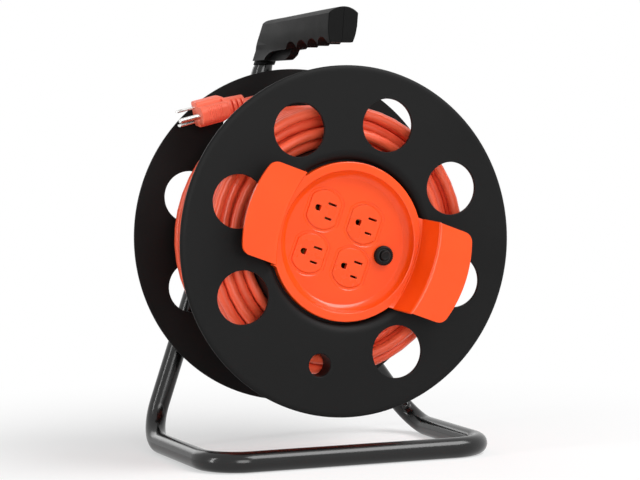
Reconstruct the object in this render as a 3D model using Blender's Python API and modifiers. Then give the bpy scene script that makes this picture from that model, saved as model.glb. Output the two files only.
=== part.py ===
"""Extension cord reel: a two-flange drum with a recessed four-outlet panel, turning on a bent-tube stand.

World frame: +Z up, the reel's front faces -Y, the floor is Z = 0 and X = 0 is the axle's plane.
Drum pieces hang from an empty on the axle, whose local axes are x right, y up and z towards the front.
"""

import math

import bmesh
import bpy
import numpy as np
from mathutils import Matrix, Vector

MM = 0.001
GAP = 0.3 * MM  # between pieces that seat on each other
WELD = 1 * MM  # how far solids that are joined run into each other
OVER = 1 * MM  # how far a cutter runs past the face it opens
RUNNING = 0.4 * MM  # round the axle and in sliding bores
FACETS = 48  # round the large turned pieces

# Drum
FLANGE_RADIUS = 150 * MM
FLANGE_THICK = 3.5 * MM
RIM_WIDTH = 5 * MM
RIM_DROP = 2 * MM
DRUM_WIDTH = 133.5 * MM  # front face of the front flange to front face of the rear one
HOLE_RADIUS = 22.8 * MM
HOLE_CIRCLE = 105.2 * MM
HOLE_COUNT = 8
HOLE_SIDES = 20
FIRST_HOLE = -24.6  # degrees clockwise from the top, seen from the front
FINGER_PLACE = 5  # the hole in the pattern that the finger hole stands in for
FINGER_ANGLE = 194.8
FINGER_CIRCLE = 107.4 * MM
FINGER_RADIUS = 9.8 * MM
FINGER_WALL = 2.2 * MM
FINGER_DEPTH = 18.5 * MM
BARREL_RADIUS = 80 * MM
BARREL_WALL = 3.5 * MM
POST_RADIUS = 5 * MM
POST_COUNT = 4
POST_TURN = 45  # degrees
SPIGOT_LENGTH = 8.5 * MM
SCREW = 1.8 * MM
SCREW_HEAD = 3.6 * MM
SCREW_HEAD_HIGH = 2.2 * MM
SCREW_BITE = 14 * MM
SCREW_ROOM = 1 * MM  # past a screw's end
GROMMET_RADIUS = 7 * MM
GROMMET_LIP = 9 * MM
GROMMET_LIP_THICK = 2.2 * MM

# Socket panel
PANEL_ANGLE = 110.4  # the wings' axis, degrees clockwise from the top
DISH_RADIUS = 68.3 * MM
DISH_OPENING = 70 * MM  # the flange's bore round the dish
SHOULDER = 9 * MM
LEDGE_RADIUS = 62 * MM
LEDGE_THICK = 3 * MM
DISH_SINK = 1.4 * MM
DISH_DEPTH = 10 * MM
DISH_FLOOR_RADIUS = 53.5 * MM
DISH_WALL = 2.5 * MM
DISH_CORNER = 7.5 * MM
DISH_LIP = 0.8 * MM
DISH_LIP_DROP = 0.2 * MM
DISH_EDGE = 1.2 * MM
DISH_BACK_SLOPE = 4 * MM
DISH_BACK_RISE = 1.6 * MM
WING_HEIGHT = 24 * MM
WING_HALF_WIDTH = 40.5 * MM
WING_REACH = 104 * MM
WING_CREASE = 70.5 * MM
WING_CREASE_ROUND = 126 * MM
WING_CORNER = 9 * MM
WING_THICK = 2.4 * MM
WING_ROOT = (4 * MM, 1 * MM)  # below the dish's rim, where the wing's wall starts and where it begins to lean
WING_FOLD = ((-0.8 * MM, 3 * MM), (0.0, 1 * MM), (1.6 * MM, 0.0))  # past the crease, below the plate's top
WING_SPARE = (2 * MM, 4 * MM)  # by which the sheet is wider and longer than its outline
OUTLET_PITCH = 39.2 * MM
OUTLET_SHIFT = -7.4 * MM  # middle of the four outlets along the wings' axis
OUTLET_RADIUS = 17.05 * MM
OUTLET_FLAT = 14.3 * MM
OUTLET_PROUD = 0.6 * MM
OUTLET_FLANGE = 1.5 * MM
OUTLET_BACK = 1.8 * MM  # how far the outlet's flange is wider than its face
BLADE_SPACING = 12.7 * MM
GROUND_OFFSET = 11.9 * MM
SLOT_WIDTH = 1.9 * MM
LONG_SLOT = 7.9 * MM
SHORT_SLOT = 6.4 * MM
GROUND_RADIUS = 2.6 * MM
PANEL_SCREW = 1.5 * MM
PANEL_SCREW_HEAD = 2.8 * MM
PANEL_SCREW_HEAD_HIGH = 2 * MM
PANEL_SCREW_BITE = 4 * MM
PANEL_SCREW_COUNT = 4
PANEL_SCREW_TURN = 45  # degrees past the wings' axis

# Reset breaker
BREAKER_U = 37.5 * MM  # along the wings' axis
BREAKER_COLLAR = 8.5 * MM
BREAKER_NECK = 5.6 * MM
BUTTON_RADIUS = 4.2 * MM
BUTTON_PROUD = 2 * MM
BREAKER_COLLAR_HIGH = 4.6 * MM
BREAKER_WIDE = 13 * MM
BREAKER_TALL = 20 * MM
BREAKER_DEEP = 20 * MM
BUTTON_STEM = 13 * MM
BUTTON_TRAVEL = 2 * MM
BUTTON_ROOM = 1 * MM  # behind the stem at the end of its travel
BUTTON_EDGE = 1 * MM
BREAKER_EDGE = 1 * MM
BREAKER_NECK_SHORT = 0.6 * MM  # of the collar's face

# Terminal box behind the panel
BOX_RADIUS = 57 * MM
BOX_WALL = 2.4 * MM
BOX_DEPTH = 40 * MM
BOX_POST_RADIUS = 4 * MM
BOX_RIM_DROP = 1 * MM  # of the cup's rim, short of the panel
STRIP_DEPTH = 20 * MM  # behind the outlets' faces, past the end of a plug's blades
STRIP_THICK = 1 * MM
STRIP_WIDE = 6 * MM
STRIP_STEP = 4 * MM
GLAND_RADIUS = 6.6 * MM
GLAND_FLANGE = 9 * MM
GLAND_LENGTH = 5 * MM
GLAND_PAST_FLOOR = 1 * MM
LEAD_ENTRY = (46 * MM, 0.0)
LEAD_BEND = 30 * MM
LEAD_PAST_FLOOR = 2 * MM
LEAD_SHORT = 1.2 * MM  # of the barrel's outer face
WIRE_RADIUS = 1.3 * MM

# Hub and axle
HUB_RADIUS = 15 * MM
HUB_FRONT = 68 * MM  # behind the front flange's face
BUSH_WALL = 3 * MM
BUSH_LENGTH = 16 * MM
AXLE_RADIUS = 7 * MM
AXLE_NOSE = 5 * MM
AXLE_TAIL = 4 * MM
AXLE_EDGE = 1 * MM
WASHER_RADIUS = 12 * MM
WASHER_THICK = 2 * MM
NUT_HEIGHT = 6 * MM
NUT_SHARE = 1.85  # a nut's corners, in radii of its thread
THREAD_PAST_NUT = 2.5 * MM
GUSSET_COUNT = 8
GUSSET_THICK = 3 * MM
GUSSET_REACH = 66 * MM
GUSSET_HIGH = 13 * MM
GUSSET_TIP = 1 * MM  # its height at the end of its reach
GUSSET_LAND = 1 * MM  # its level top, past the hub

# Stand
TUBE_RADIUS = 9 * MM
BASE_LEFT = 128 * MM  # of the axle, at the leg
BASE_FRONT_LEFT = 122 * MM
BASE_RIGHT = 133.6 * MM
BASE_BEND = 34 * MM
AXLE_HEIGHT = 191.7 * MM
FRONT_BAR_SETBACK = 3.9 * MM  # behind the front flange's face
LEG_SETBACK = 170.9 * MM
GRIP_HEIGHT = 374.7 * MM
GRIP_X = -3.5 * MM
HANDLE_BEND = 22 * MM
TUBE_IN_GRIP = 150 * MM
SLEEVE_RADIUS = 6.6 * MM
SLEEVE_START = 50  # degrees of the bend that the joint's sleeve reaches into
SLEEVE_ROOM = 3  # degrees past its end
BOLT_PLACE = 28  # degrees of the bend below the joint
JOINT_PAST_BEND = 8 * MM
BOLT_RADIUS = 2.4 * MM
BOLT_HEAD = 4.2 * MM
BOLT_HEAD_HIGH = 3 * MM
BOLT_NUT = 3.5 * MM
BOLT_PAST_NUT = 1 * MM

# Grip
GRIP_REACH = 174 * MM
GRIP_HALF_WIDTH = 13.4 * MM
GRIP_TOP = 14.6 * MM
GRIP_ARCH = 5.6 * MM  # rise of the top over its width
GRIP_RISE = 3 * MM  # of the top, from the rear to the front
GRIP_BOTTOM = 16.8 * MM
GRIP_REAR = 11.5 * MM
GRIP_REAR_ROUND = 13.5 * MM  # depth of the round rear end, seen from above
GRIP_REAR_CORNER = 7 * MM
GRIP_FLANK = ((12.7 * MM, -6 * MM), (11.6 * MM, -10.8 * MM), (9.9 * MM, -15.2 * MM))
GRIP_WALL_ROOM = 0.45 * MM  # round the tube
TENON_RADIUS = 6.8 * MM  # of the tube inside the grip
SWAGE_TOP = 23 * MM  # down the leg from the handle's corner, where the tube starts to widen
SWAGE_END = 36 * MM
NECK_DROP = 24.5 * MM
NECK_FRONT = 24 * MM
NECK_SWEEP = 20 * MM
COLLAR_RADIUS = 9.9 * MM
COLLAR_HIGH = 4 * MM
FINGER_COUNT = 4
FINGER_PITCH = 24 * MM
FINGER_FIRST = 80 * MM
FINGER_ROLL = 14.5 * MM
FINGER_CUT = 5.5 * MM
GRIP_FRONT_LEAN = 0.09
LEAN_START = 28 * MM
LEAN_END = 130 * MM
WEB_HALF = 4 * MM
WEB_ROOT = 22 * MM
WEB_REACH = 75 * MM
WEB_DROP = 23.5 * MM
WEB_RUN_OUT = 2  # length of the web's sloped front end per unit of its height
GRIP_SCREW = 1.6 * MM
GRIP_SCREW_HEAD = 3 * MM
GRIP_SCREW_HEAD_HIGH = 2 * MM
GRIP_SCREW_SINK = 3 * MM
GRIP_SCREW_BITE = 8 * MM
GRIP_SCREW_FRONT = (164 * MM, 0.0, GRIP_HALF_WIDTH)
GRIP_SCREW_REAR = (18 * MM, -17 * MM, GRIP_FLANK[-1][0])

# Cord
CORD_RADIUS = 4.5 * MM
LAYER_STEP = 9.2 * MM
LAYERS = 4
TURNS = 10  # in the outer layer
WINDING_FRONT = 20 * MM  # behind the front flange's face
WINDING_REAR = 3 * MM  # short of the rear flange
LOOP_POINTS = 24
TAIL_ANGLE = 80  # where the tail leaves the outer layer, degrees clockwise from the top
TAIL_POINTS = 9
TAIL_CROSSING = (0.35, 0.8)  # the part of the tail in which it goes across to the plug's depth
START_STRAIGHT = 2  # degrees short of the outer layer's radius, where the start stops being straight
START_SETTLED = 4  # degrees past it, where the turns begin
START_SINK = 1.74 * MM  # how far below the core's surface the outer layer starts
NOTCH_ROOM = 3 * MM

# Plug
PLUG_BODY = 24 * MM
PLUG_HALF_WIDE = 13.2 * MM
PLUG_HALF_TALL = 11.3 * MM
PLUG_ROUND = 2.8 * MM
PLUG_STEP = -2 * MM  # where the body narrows towards the ground pin
PLUG_SLOPE = 1 * MM  # of the shoulder there
PLUG_LOBE = 7.8 * MM  # half the height of the narrow part
PLUG_EDGE = 1 * MM  # by which the relief's root is inside the body's
PLUG_NECK = 3.5 * MM
RELIEF_LENGTH = 16.5 * MM
RELIEF_RADIUS = 9.2 * MM
RELIEF_END = 8.2 * MM
RELIEF_SLOTS = 3
RELIEF_SLOT = 1.9 * MM
RELIEF_SLOT_FIRST = 3.4 * MM
RELIEF_SLOT_PITCH = 4.4 * MM
RELIEF_CORE = 5 * MM
PLUG_BLADE = 17.6 * MM
PLUG_BLADE_WIDE = 6.3 * MM
PLUG_BLADE_THICK = 1.5 * MM
PIN_RADIUS = 2.4 * MM
PIN_LENGTH = 20 * MM
PRONG_ROOT = 6 * MM
PLUG_END_X = -53.5 * MM  # where the cord enters the plug's relief
PLUG_END_Y = 119.2 * MM
PLUG_DEPTH = 113.5 * MM  # behind the front flange's face
PLUG_DROOP = 13.5  # degrees below level
PLUG_ROLL = 8  # degrees about its own axis, the ground pin lower
PLUG_GROOVES = 7
GROOVE_FIRST = 4.5 * MM
GROOVE_PITCH = 2 * MM
GROOVE_WIDE = 1 * MM
GROOVE_DEPTH = 0.7 * MM

# Places worked out from the sizes above
REAR_REACH = LEG_SETBACK + TUBE_RADIUS + GAP + NUT_HEIGHT + THREAD_PAST_NUT
FRONT_FACE_Y = (WING_HEIGHT - REAR_REACH) / 2  # so that the origin is at mid depth
LEG_Y = FRONT_FACE_Y + LEG_SETBACK
BAR_Y = FRONT_FACE_Y + FRONT_BAR_SETBACK
FORWARD = Vector((0, -1, 0))
TUBE_SIDES = 12
BASE_Z = TUBE_RADIUS * math.cos(math.pi / TUBE_SIDES)
DISH_FLOOR = -DISH_DEPTH
DISH_BACK = DISH_FLOOR - DISH_WALL
OUTLET_FACE = DISH_FLOOR + OUTLET_PROUD
OUTLET_REAR = DISH_BACK - GAP - OUTLET_FLANGE
BOX_FRONT = DISH_BACK - GAP
BOX_BACK = BOX_FRONT - BOX_DEPTH
SPIGOT_RADIUS = BARREL_RADIUS - BARREL_WALL - GAP
HUB_REAR = LEG_SETBACK - TUBE_RADIUS - WASHER_THICK - 3 * GAP
POST_CIRCLE = BARREL_RADIUS - BARREL_WALL - POST_RADIUS + MM
RING_RADIUS = POST_CIRCLE - POST_RADIUS
PANEL_SCREW_CIRCLE = (LEDGE_RADIUS + DISH_RADIUS) / 2
ENTRY_Z = -(DRUM_WIDTH - SPIGOT_LENGTH - GROMMET_LIP - 1.5 * MM)
LEAD_END = BOX_BACK + BOX_WALL + LEAD_PAST_FLOOR
BOX_POST = (OUTLET_SHIFT, 0.0)
OUTLETS = [
    (OUTLET_SHIFT + su * OUTLET_PITCH / 2, sv * OUTLET_PITCH / 2) for sv in (1, -1) for su in (-1, 1)
]
OUTER_LAYER = BARREL_RADIUS + GAP + LAYER_STEP * (LAYERS - 0.5)
LOOP_DIP = OUTER_LAYER * (1 - math.cos(math.pi / LOOP_POINTS))
CORE_RADIUS = OUTER_LAYER - CORD_RADIUS - LOOP_DIP - GAP
START_RADIUS = CORE_RADIUS - START_SINK
FIRST_TURN = -(WINDING_FRONT + CORD_RADIUS)
LAST_TURN = -(DRUM_WIDTH - WINDING_REAR - CORD_RADIUS)
LEFT_FOOT = Vector((-BASE_LEFT, LEG_Y, BASE_Z))
RIGHT_FOOT = Vector((BASE_RIGHT, LEG_Y, BASE_Z))
AXLE_POINT = Vector((0, LEG_Y, AXLE_HEIGHT))
GRIP_CORNER = Vector((GRIP_X, LEG_Y, GRIP_HEIGHT))
LEFT_LEG = (GRIP_CORNER - LEFT_FOOT).normalized()
RIGHT_LEG = (AXLE_POINT - RIGHT_FOOT).normalized()
LEG_LEAN = LEFT_LEG.x / LEFT_LEG.z
JOINT = RIGHT_FOOT + RIGHT_LEG * (BASE_BEND + JOINT_PAST_BEND)


def clear_scene():
    for old in list(bpy.data.objects):
        bpy.data.objects.remove(old, do_unlink=True)


def new_collection(name):
    group = bpy.data.collections.new(name)
    bpy.context.scene.collection.children.link(group)
    return group


clear_scene()
PARTS = new_collection("extension_cord_reel")
CUTTERS = new_collection("cutters")


def look(name, colour, roughness, metallic=0.0):
    """A material with one colour."""
    paint = bpy.data.materials.new(name)
    paint.use_nodes = True
    shader = paint.node_tree.nodes["Principled BSDF"]
    shader.inputs["Base Color"].default_value = (*colour, 1)
    shader.inputs["Roughness"].default_value = roughness
    shader.inputs["Metallic"].default_value = metallic
    return paint


BLACK_PLASTIC = look("black_plastic", (0.022, 0.022, 0.022), 0.55)
BLACK_STEEL = look("black_enamel_steel", (0.01, 0.01, 0.01), 0.2, 0.2)
ORANGE = look("orange_plastic", (1.0, 0.13, 0.018), 0.4)
CORD_RED = look("cord_vinyl", (0.8, 0.1, 0.06), 0.45)
STEEL = look("zinc_steel", (0.62, 0.62, 0.6), 0.3, 1.0)
BRASS = look("brass", (0.75, 0.55, 0.22), 0.3, 1.0)
NYLON = look("nylon", (0.75, 0.74, 0.7), 0.5)
HOT_WIRE = look("black_wire", (0.02, 0.02, 0.02), 0.5)
NEUTRAL_WIRE = look("white_wire", (0.8, 0.8, 0.78), 0.5)
GROUND_WIRE = look("green_wire", (0.02, 0.3, 0.06), 0.5)
GRIP_PLASTIC = look("grip_plastic", (0.012, 0.012, 0.012), 0.35)


def empty(name, location, turn, parent=None):
    """A place to hang pieces from; turn is its angles about x, y and z."""
    axis = bpy.data.objects.new(name, None)
    PARTS.objects.link(axis)
    axis.parent = parent
    axis.location = location
    axis.rotation_euler = turn
    return axis


def add(name, mesh, paint, parent):
    """A part, or a cutter where paint is None."""
    piece = bpy.data.objects.new(name, mesh)
    piece.parent = parent
    if paint is None:
        CUTTERS.objects.link(piece)
        piece.hide_render = True
        piece.display_type = "WIRE"
        return piece
    PARTS.objects.link(piece)
    mesh.materials.append(paint)
    mesh.shade_smooth()
    mesh.set_sharp_from_angle(angle=math.radians(40))
    return piece


def mesh_of(name, bm):
    mesh = bpy.data.meshes.new(name)
    bm.to_mesh(mesh)
    bm.free()
    return mesh


def baked(piece):
    """The piece's mesh with its modifiers applied and loose caps welded, in its own frame."""
    graph = bpy.context.evaluated_depsgraph_get()
    mesh = bpy.data.meshes.new_from_object(piece.evaluated_get(graph))
    bm = bmesh.new()
    bm.from_mesh(mesh)
    bmesh.ops.remove_doubles(bm, verts=bm.verts, dist=0.001 * MM)
    bm.to_mesh(mesh)
    bm.free()
    mesh.materials.clear()
    return mesh


def settle(name, piece, paint, parent):
    """Turns a curve or a piece with modifiers into a plain mesh object."""
    mesh = baked(piece)
    bpy.data.objects.remove(piece, do_unlink=True)
    return add(name, mesh, paint, parent)


def combine(piece, tool, operation):
    step = piece.modifiers.new(operation.lower() + "_" + tool.name, "BOOLEAN")
    step.object = tool
    step.operation = operation
    step.solver = "EXACT"


def cut(piece, *tools):
    for tool in tools:
        combine(piece, tool, "DIFFERENCE")


def join(piece, *tools):
    for tool in tools:
        combine(piece, tool, "UNION")


def turned(name, profile, steps, paint, parent):
    """A closed (radius, height) profile, clockwise, turned about local z."""
    bm = bmesh.new()
    ring = [bm.verts.new((radius, 0, height)) for radius, height in profile]
    for near, far in zip(ring, ring[1:] + ring[:1]):
        if near.co.x > 0 or far.co.x > 0:
            bm.edges.new((near, far))
    piece = add(name, mesh_of(name, bm), paint, parent)
    screw = piece.modifiers.new("turn", "SCREW")
    screw.steps = steps
    screw.render_steps = steps
    screw.use_merge_vertices = True
    screw.merge_threshold = 0.01 * MM
    return piece


def rods(name, radius, low, high, sides, paint, parent, centres=((0, 0),)):
    """Upright cylinders between two heights."""
    bm = bmesh.new()
    for x, y in centres:
        place = Matrix.Translation((x, y, (low + high) / 2))
        bmesh.ops.create_cone(
            bm,
            cap_ends=True,
            segments=sides,
            radius1=radius,
            radius2=radius,
            depth=high - low,
            matrix=place @ Matrix.Rotation(math.pi / sides, 4, "Z"),
        )
    return add(name, mesh_of(name, bm), paint, parent)


def block(name, low, high, paint, parent, rounding=0.0, segments=2):
    """A box between two corners, with rounded edges where rounding is given."""
    bm = bmesh.new()
    size = [b - a for a, b in zip(low, high)]
    middle = [(a + b) / 2 for a, b in zip(low, high)]
    bmesh.ops.create_cube(bm, size=1, matrix=Matrix.LocRotScale(Vector(middle), None, Vector(size)))
    piece = add(name, mesh_of(name, bm), paint, parent)
    if rounding:
        soft = piece.modifiers.new("round", "BEVEL")
        soft.width = rounding
        soft.segments = segments
    return piece


def plate(name, outline, low, high, paint, parent):
    """A flat outline between two heights."""
    curve = bpy.data.curves.new(name, "CURVE")
    curve.dimensions = "2D"
    curve.fill_mode = "BOTH"
    curve.extrude = (high - low) / 2
    line = curve.splines.new("POLY")
    line.points.add(len(outline) - 1)
    for point, (x, y) in zip(line.points, outline):
        point.co = (x, y, 0, 1)
    line.use_cyclic_u = True
    shape = bpy.data.objects.new(name + "_outline", curve)
    CUTTERS.objects.link(shape)
    piece = settle(name, shape, paint, parent)
    piece.data.transform(Matrix.Translation((0, 0, (low + high) / 2)))
    return piece


def tube(name, points, radius, paint, parent, resolution=2, tilt=0.0, shares=None):
    """A round bar with 4 + 2 * resolution sides along points; shares narrow it at the first of them."""
    curve = bpy.data.curves.new(name, "CURVE")
    curve.dimensions = "3D"
    curve.twist_mode = "Z_UP"
    curve.bevel_depth = radius
    curve.bevel_resolution = resolution
    curve.use_fill_caps = True
    line = curve.splines.new("POLY")
    line.points.add(len(points) - 1)
    for point, place in zip(line.points, points):
        point.co = (*place, 1)
        point.tilt = tilt
    for point, share in zip(line.points, shares or []):
        point.radius = share
    shape = bpy.data.objects.new(name + "_line", curve)
    CUTTERS.objects.link(shape)
    return settle(name, shape, paint, parent)


def clock(radius, degrees):
    """A point at a clock angle: clockwise from the top, seen from the front."""
    angle = math.radians(degrees)
    return (radius * math.sin(angle), radius * math.cos(angle))


def arc(x, y, radius, start, end, steps, squash=1.0):
    """Points on an arc, anticlockwise angles in degrees."""
    angles = [math.radians(start + (end - start) * i / steps) for i in range(steps + 1)]
    return [(x + radius * math.cos(a), y + squash * radius * math.sin(a)) for a in angles]


def bent(corners, radius, steps):
    """Points along straight runs with round bends at the inner corners."""
    path = [Vector(corners[0])]
    for before, corner, after in zip(corners, corners[1:], corners[2:]):
        corner = Vector(corner)
        back = (Vector(before) - corner).normalized()
        ahead = (Vector(after) - corner).normalized()
        half = back.angle(ahead) / 2
        middle = corner + (back + ahead).normalized() * radius / math.sin(half)
        start = corner + back * radius / math.tan(half) - middle
        end = corner + ahead * radius / math.tan(half) - middle
        sweep = start.angle(end)
        for i in range(steps + 1):
            share = i / steps
            path.append(
                middle
                + start * math.sin((1 - share) * sweep) / math.sin(sweep)
                + end * math.sin(share * sweep) / math.sin(sweep)
            )
    path.append(Vector(corners[-1]))
    return path


def ease(share):
    share = min(1.0, max(0.0, share))
    return share * share * (3 - 2 * share)


POSTS = [clock(POST_CIRCLE, POST_TURN + 360 / POST_COUNT * k) for k in range(POST_COUNT)]
PANEL_SCREWS = [
    clock(PANEL_SCREW_CIRCLE, PANEL_ANGLE + PANEL_SCREW_TURN + 360 / PANEL_SCREW_COUNT * k)
    for k in range(PANEL_SCREW_COUNT)
]

STAND = empty("stand_place", (0, 0, 0), (0, 0, 0))
DRUM = empty("drum_axis", (0, FRONT_FACE_Y, AXLE_HEIGHT), (math.pi / 2, 0, 0))
PANEL = empty("panel_axis", (0, 0, 0), (0, 0, math.radians(90 - PANEL_ANGLE)), DRUM)
AXLE_LINE = empty("axle_line", (0, FRONT_FACE_Y, AXLE_HEIGHT), (math.pi / 2, 0, 0))


def flange_holes(name, places, low, high):
    centres = [clock(HOLE_CIRCLE, FIRST_HOLE + 360 / HOLE_COUNT * k) for k in places]
    return rods(name, HOLE_RADIUS, low, high, HOLE_SIDES, None, DRUM, centres)


def make_front_flange():
    """Flange plate with a rolled shoulder round the dish, a ledge that carries it and a finger hole."""
    back = -FLANGE_THICK
    ledge_back = -SHOULDER - LEDGE_THICK
    roll = arc(DISH_OPENING + SHOULDER, -SHOULDER, SHOULDER, 180, 90, 4)
    rim_edge = FLANGE_RADIUS - RIM_WIDTH
    rim = arc(rim_edge, -RIM_DROP, RIM_WIDTH, 90, 0, 2, RIM_DROP / RIM_WIDTH)
    profile = roll + rim + [
        (FLANGE_RADIUS, back),
        (SPIGOT_RADIUS, back),
        (SPIGOT_RADIUS, ledge_back),
        (LEDGE_RADIUS, ledge_back),
        (LEDGE_RADIUS, -SHOULDER),
    ]
    flange = turned("front_flange", profile, FACETS, BLACK_PLASTIC, DRUM)
    finger = clock(FINGER_CIRCLE, FINGER_ANGLE)
    collar = rods(
        "finger_collar", FINGER_RADIUS + FINGER_WALL, -FINGER_DEPTH, -GAP, 24, None, DRUM, [finger]
    )
    bore = rods("finger_bore", FINGER_RADIUS, -FINGER_DEPTH - OVER, OVER, 24, None, DRUM, [finger])
    places = [k for k in range(HOLE_COUNT) if k != FINGER_PLACE]
    join(flange, collar)
    cut(flange, flange_holes("front_holes", places, back - OVER, OVER), bore)
    cut(flange, rods("ledge_holes", PANEL_SCREW + GAP, ledge_back - OVER, 0, 8, None, DRUM, PANEL_SCREWS))


def make_rear_flange():
    """Flange plate with the long hub, its gussets and the ring that centres the barrel."""
    front = -DRUM_WIDTH
    back = front - FLANGE_THICK
    ring_top = front + SPIGOT_LENGTH
    bore = AXLE_RADIUS + RUNNING + BUSH_WALL + GAP
    rim_edge = FLANGE_RADIUS - RIM_WIDTH
    profile = [
        (bore, -HUB_FRONT),
        (HUB_RADIUS, -HUB_FRONT),
        (HUB_RADIUS, front),
        (RING_RADIUS, front),
        (RING_RADIUS, ring_top),
        (SPIGOT_RADIUS, ring_top),
        (SPIGOT_RADIUS, front),
        (FLANGE_RADIUS, front),
        *arc(rim_edge, back + RIM_DROP, RIM_WIDTH, 0, -90, 2, RIM_DROP / RIM_WIDTH),
        (HUB_RADIUS, back),
        (HUB_RADIUS, -HUB_REAR),
        (bore, -HUB_REAR),
    ]
    flange = turned("rear_flange", profile, FACETS, BLACK_PLASTIC, DRUM)
    outline = [
        (bore + WELD, back + WELD),
        (GUSSET_REACH, back + WELD),
        (GUSSET_REACH, back - GUSSET_TIP),
        (HUB_RADIUS + GUSSET_LAND, back - GUSSET_HIGH),
        (bore + WELD, back - GUSSET_HIGH),
    ]
    for k in range(GUSSET_COUNT):
        turn = empty(f"gusset_turn_{k + 1}", (0, 0, 0), (0, 0, math.tau * k / GUSSET_COUNT), DRUM)
        gusset = plate(f"gusset_{k + 1}", outline, -GUSSET_THICK / 2, GUSSET_THICK / 2, None, turn)
        gusset.data.transform(Matrix.Rotation(math.pi / 2, 4, "X"))
        join(flange, gusset)
    cut(flange, flange_holes("rear_holes", range(HOLE_COUNT), back - OVER, front + OVER))
    cut(flange, rods("rear_screw_holes", SCREW + GAP, back - OVER, ring_top + OVER, 8, None, DRUM, POSTS))


def make_barrel():
    """The drum's plain wall, with four screw posts inside and a hole for the cord."""
    front = -FLANGE_THICK - GAP
    back = -DRUM_WIDTH + GAP
    inner = BARREL_RADIUS - BARREL_WALL
    profile = [(inner, front), (BARREL_RADIUS, front), (BARREL_RADIUS, back), (inner, back)]
    barrel = turned("drum_barrel", profile, FACETS, BLACK_PLASTIC, DRUM)
    low = -DRUM_WIDTH + SPIGOT_LENGTH + GAP
    high = -SHOULDER - LEDGE_THICK - GAP
    join(barrel, rods("posts", POST_RADIUS, low, high, 12, None, DRUM, POSTS))
    bore_end = low + SCREW_BITE + SCREW_ROOM
    cut(barrel, rods("post_bores", SCREW + GAP, low - OVER, bore_end, 8, None, DRUM, POSTS))
    entry = empty("entry_turn", (0, 0, ENTRY_Z), (0, math.pi / 2, 0), DRUM)
    hole = rods("entry_hole", GROMMET_RADIUS + GAP, 0, 1.5 * BARREL_RADIUS, 16, None, entry)
    cut(barrel, hole)


def make_entry_grommet():
    """Soft bush that guards the cord where it passes the barrel's wall."""
    entry = empty("grommet_turn", (0, 0, ENTRY_Z), (0, math.pi / 2, 0), DRUM)
    inner = BARREL_RADIUS - BARREL_WALL
    lip = inner - GROMMET_LIP_THICK
    bore = CORD_RADIUS + GAP
    dip = inner * (1 - math.cos(math.asin(GROMMET_LIP / inner)))
    profile = [
        (bore, BARREL_RADIUS - dip),
        (GROMMET_RADIUS, BARREL_RADIUS - dip),
        (GROMMET_RADIUS, inner - dip - GAP),
        (GROMMET_LIP, inner - dip - GAP),
        (GROMMET_LIP, lip - dip),
        (bore, lip - dip),
    ]
    turned("cord_grommet", profile, 16, BLACK_PLASTIC, entry)


def wing_shell(side):
    """A steep wall from the dish's rim, then a flat finger plate: a sheet that is thickened below."""
    count = 9
    rows = []
    for k in range(count):
        v = (2 * k / (count - 1) - 1) * (WING_HALF_WIDTH + WING_SPARE[0])
        foot = math.sqrt((DISH_RADIUS - WING_THICK) ** 2 - v * v)
        sag = WING_CREASE_ROUND - math.sqrt(WING_CREASE_ROUND**2 - v * v)
        crease = WING_CREASE - sag
        row = [(foot, v, -DISH_SINK - drop) for drop in WING_ROOT]
        row += [(crease + past, v, WING_HEIGHT - drop) for past, drop in WING_FOLD]
        rows.append(row + [(WING_REACH + WING_SPARE[1], v, WING_HEIGHT)])
    bm = bmesh.new()
    grid = [[bm.verts.new((side * x, side * y, z)) for x, y, z in row] for row in rows]
    for near, far in zip(grid, grid[1:]):
        for i in range(len(near) - 1):
            bm.faces.new((near[i], near[i + 1], far[i + 1], far[i]))
    bmesh.ops.recalc_face_normals(bm, faces=bm.faces)
    bm.normal_update()
    if max(bm.faces, key=lambda f: f.calc_center_median().z).normal.z < 0:
        bmesh.ops.reverse_faces(bm, faces=bm.faces)
    name = "wing_right" if side > 0 else "wing_left"
    shell = add(name, mesh_of(name, bm), None, PANEL)
    thick = shell.modifiers.new("thick", "SOLIDIFY")
    thick.thickness = WING_THICK
    thick.offset = -1
    corner_u = math.sqrt((WING_REACH - WING_CORNER) ** 2 - (WING_HALF_WIDTH - WING_CORNER) ** 2)
    lean = math.degrees(math.asin((WING_HALF_WIDTH - WING_CORNER) / (WING_REACH - WING_CORNER)))
    tip = WING_HALF_WIDTH - WING_CORNER
    outline = (
        [(DISH_FLOOR_RADIUS / 2, -WING_HALF_WIDTH)]
        + arc(corner_u, -tip, WING_CORNER, -90, -lean, 4)
        + arc(0, 0, WING_REACH, -lean, lean, 8)[1:-1]
        + arc(corner_u, tip, WING_CORNER, lean, 90, 4)
        + [(DISH_FLOOR_RADIUS / 2, WING_HALF_WIDTH)]
    )
    outline = [(side * x, side * y) for x, y in outline]
    trim = plate(name + "_outline", outline, -DISH_DEPTH, WING_HEIGHT + OVER, None, PANEL)
    combine(shell, trim, "INTERSECT")
    return shell


def outlet_outline(extra):
    """Round outlet face with two flats, grown by extra."""
    radius = OUTLET_RADIUS + extra
    flat = OUTLET_FLAT + extra
    open_angle = math.degrees(math.acos(flat / radius))
    return arc(0, 0, radius, open_angle, 180 - open_angle, 7) + arc(
        0, 0, radius, 180 + open_angle, 360 - open_angle, 7
    )


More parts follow.
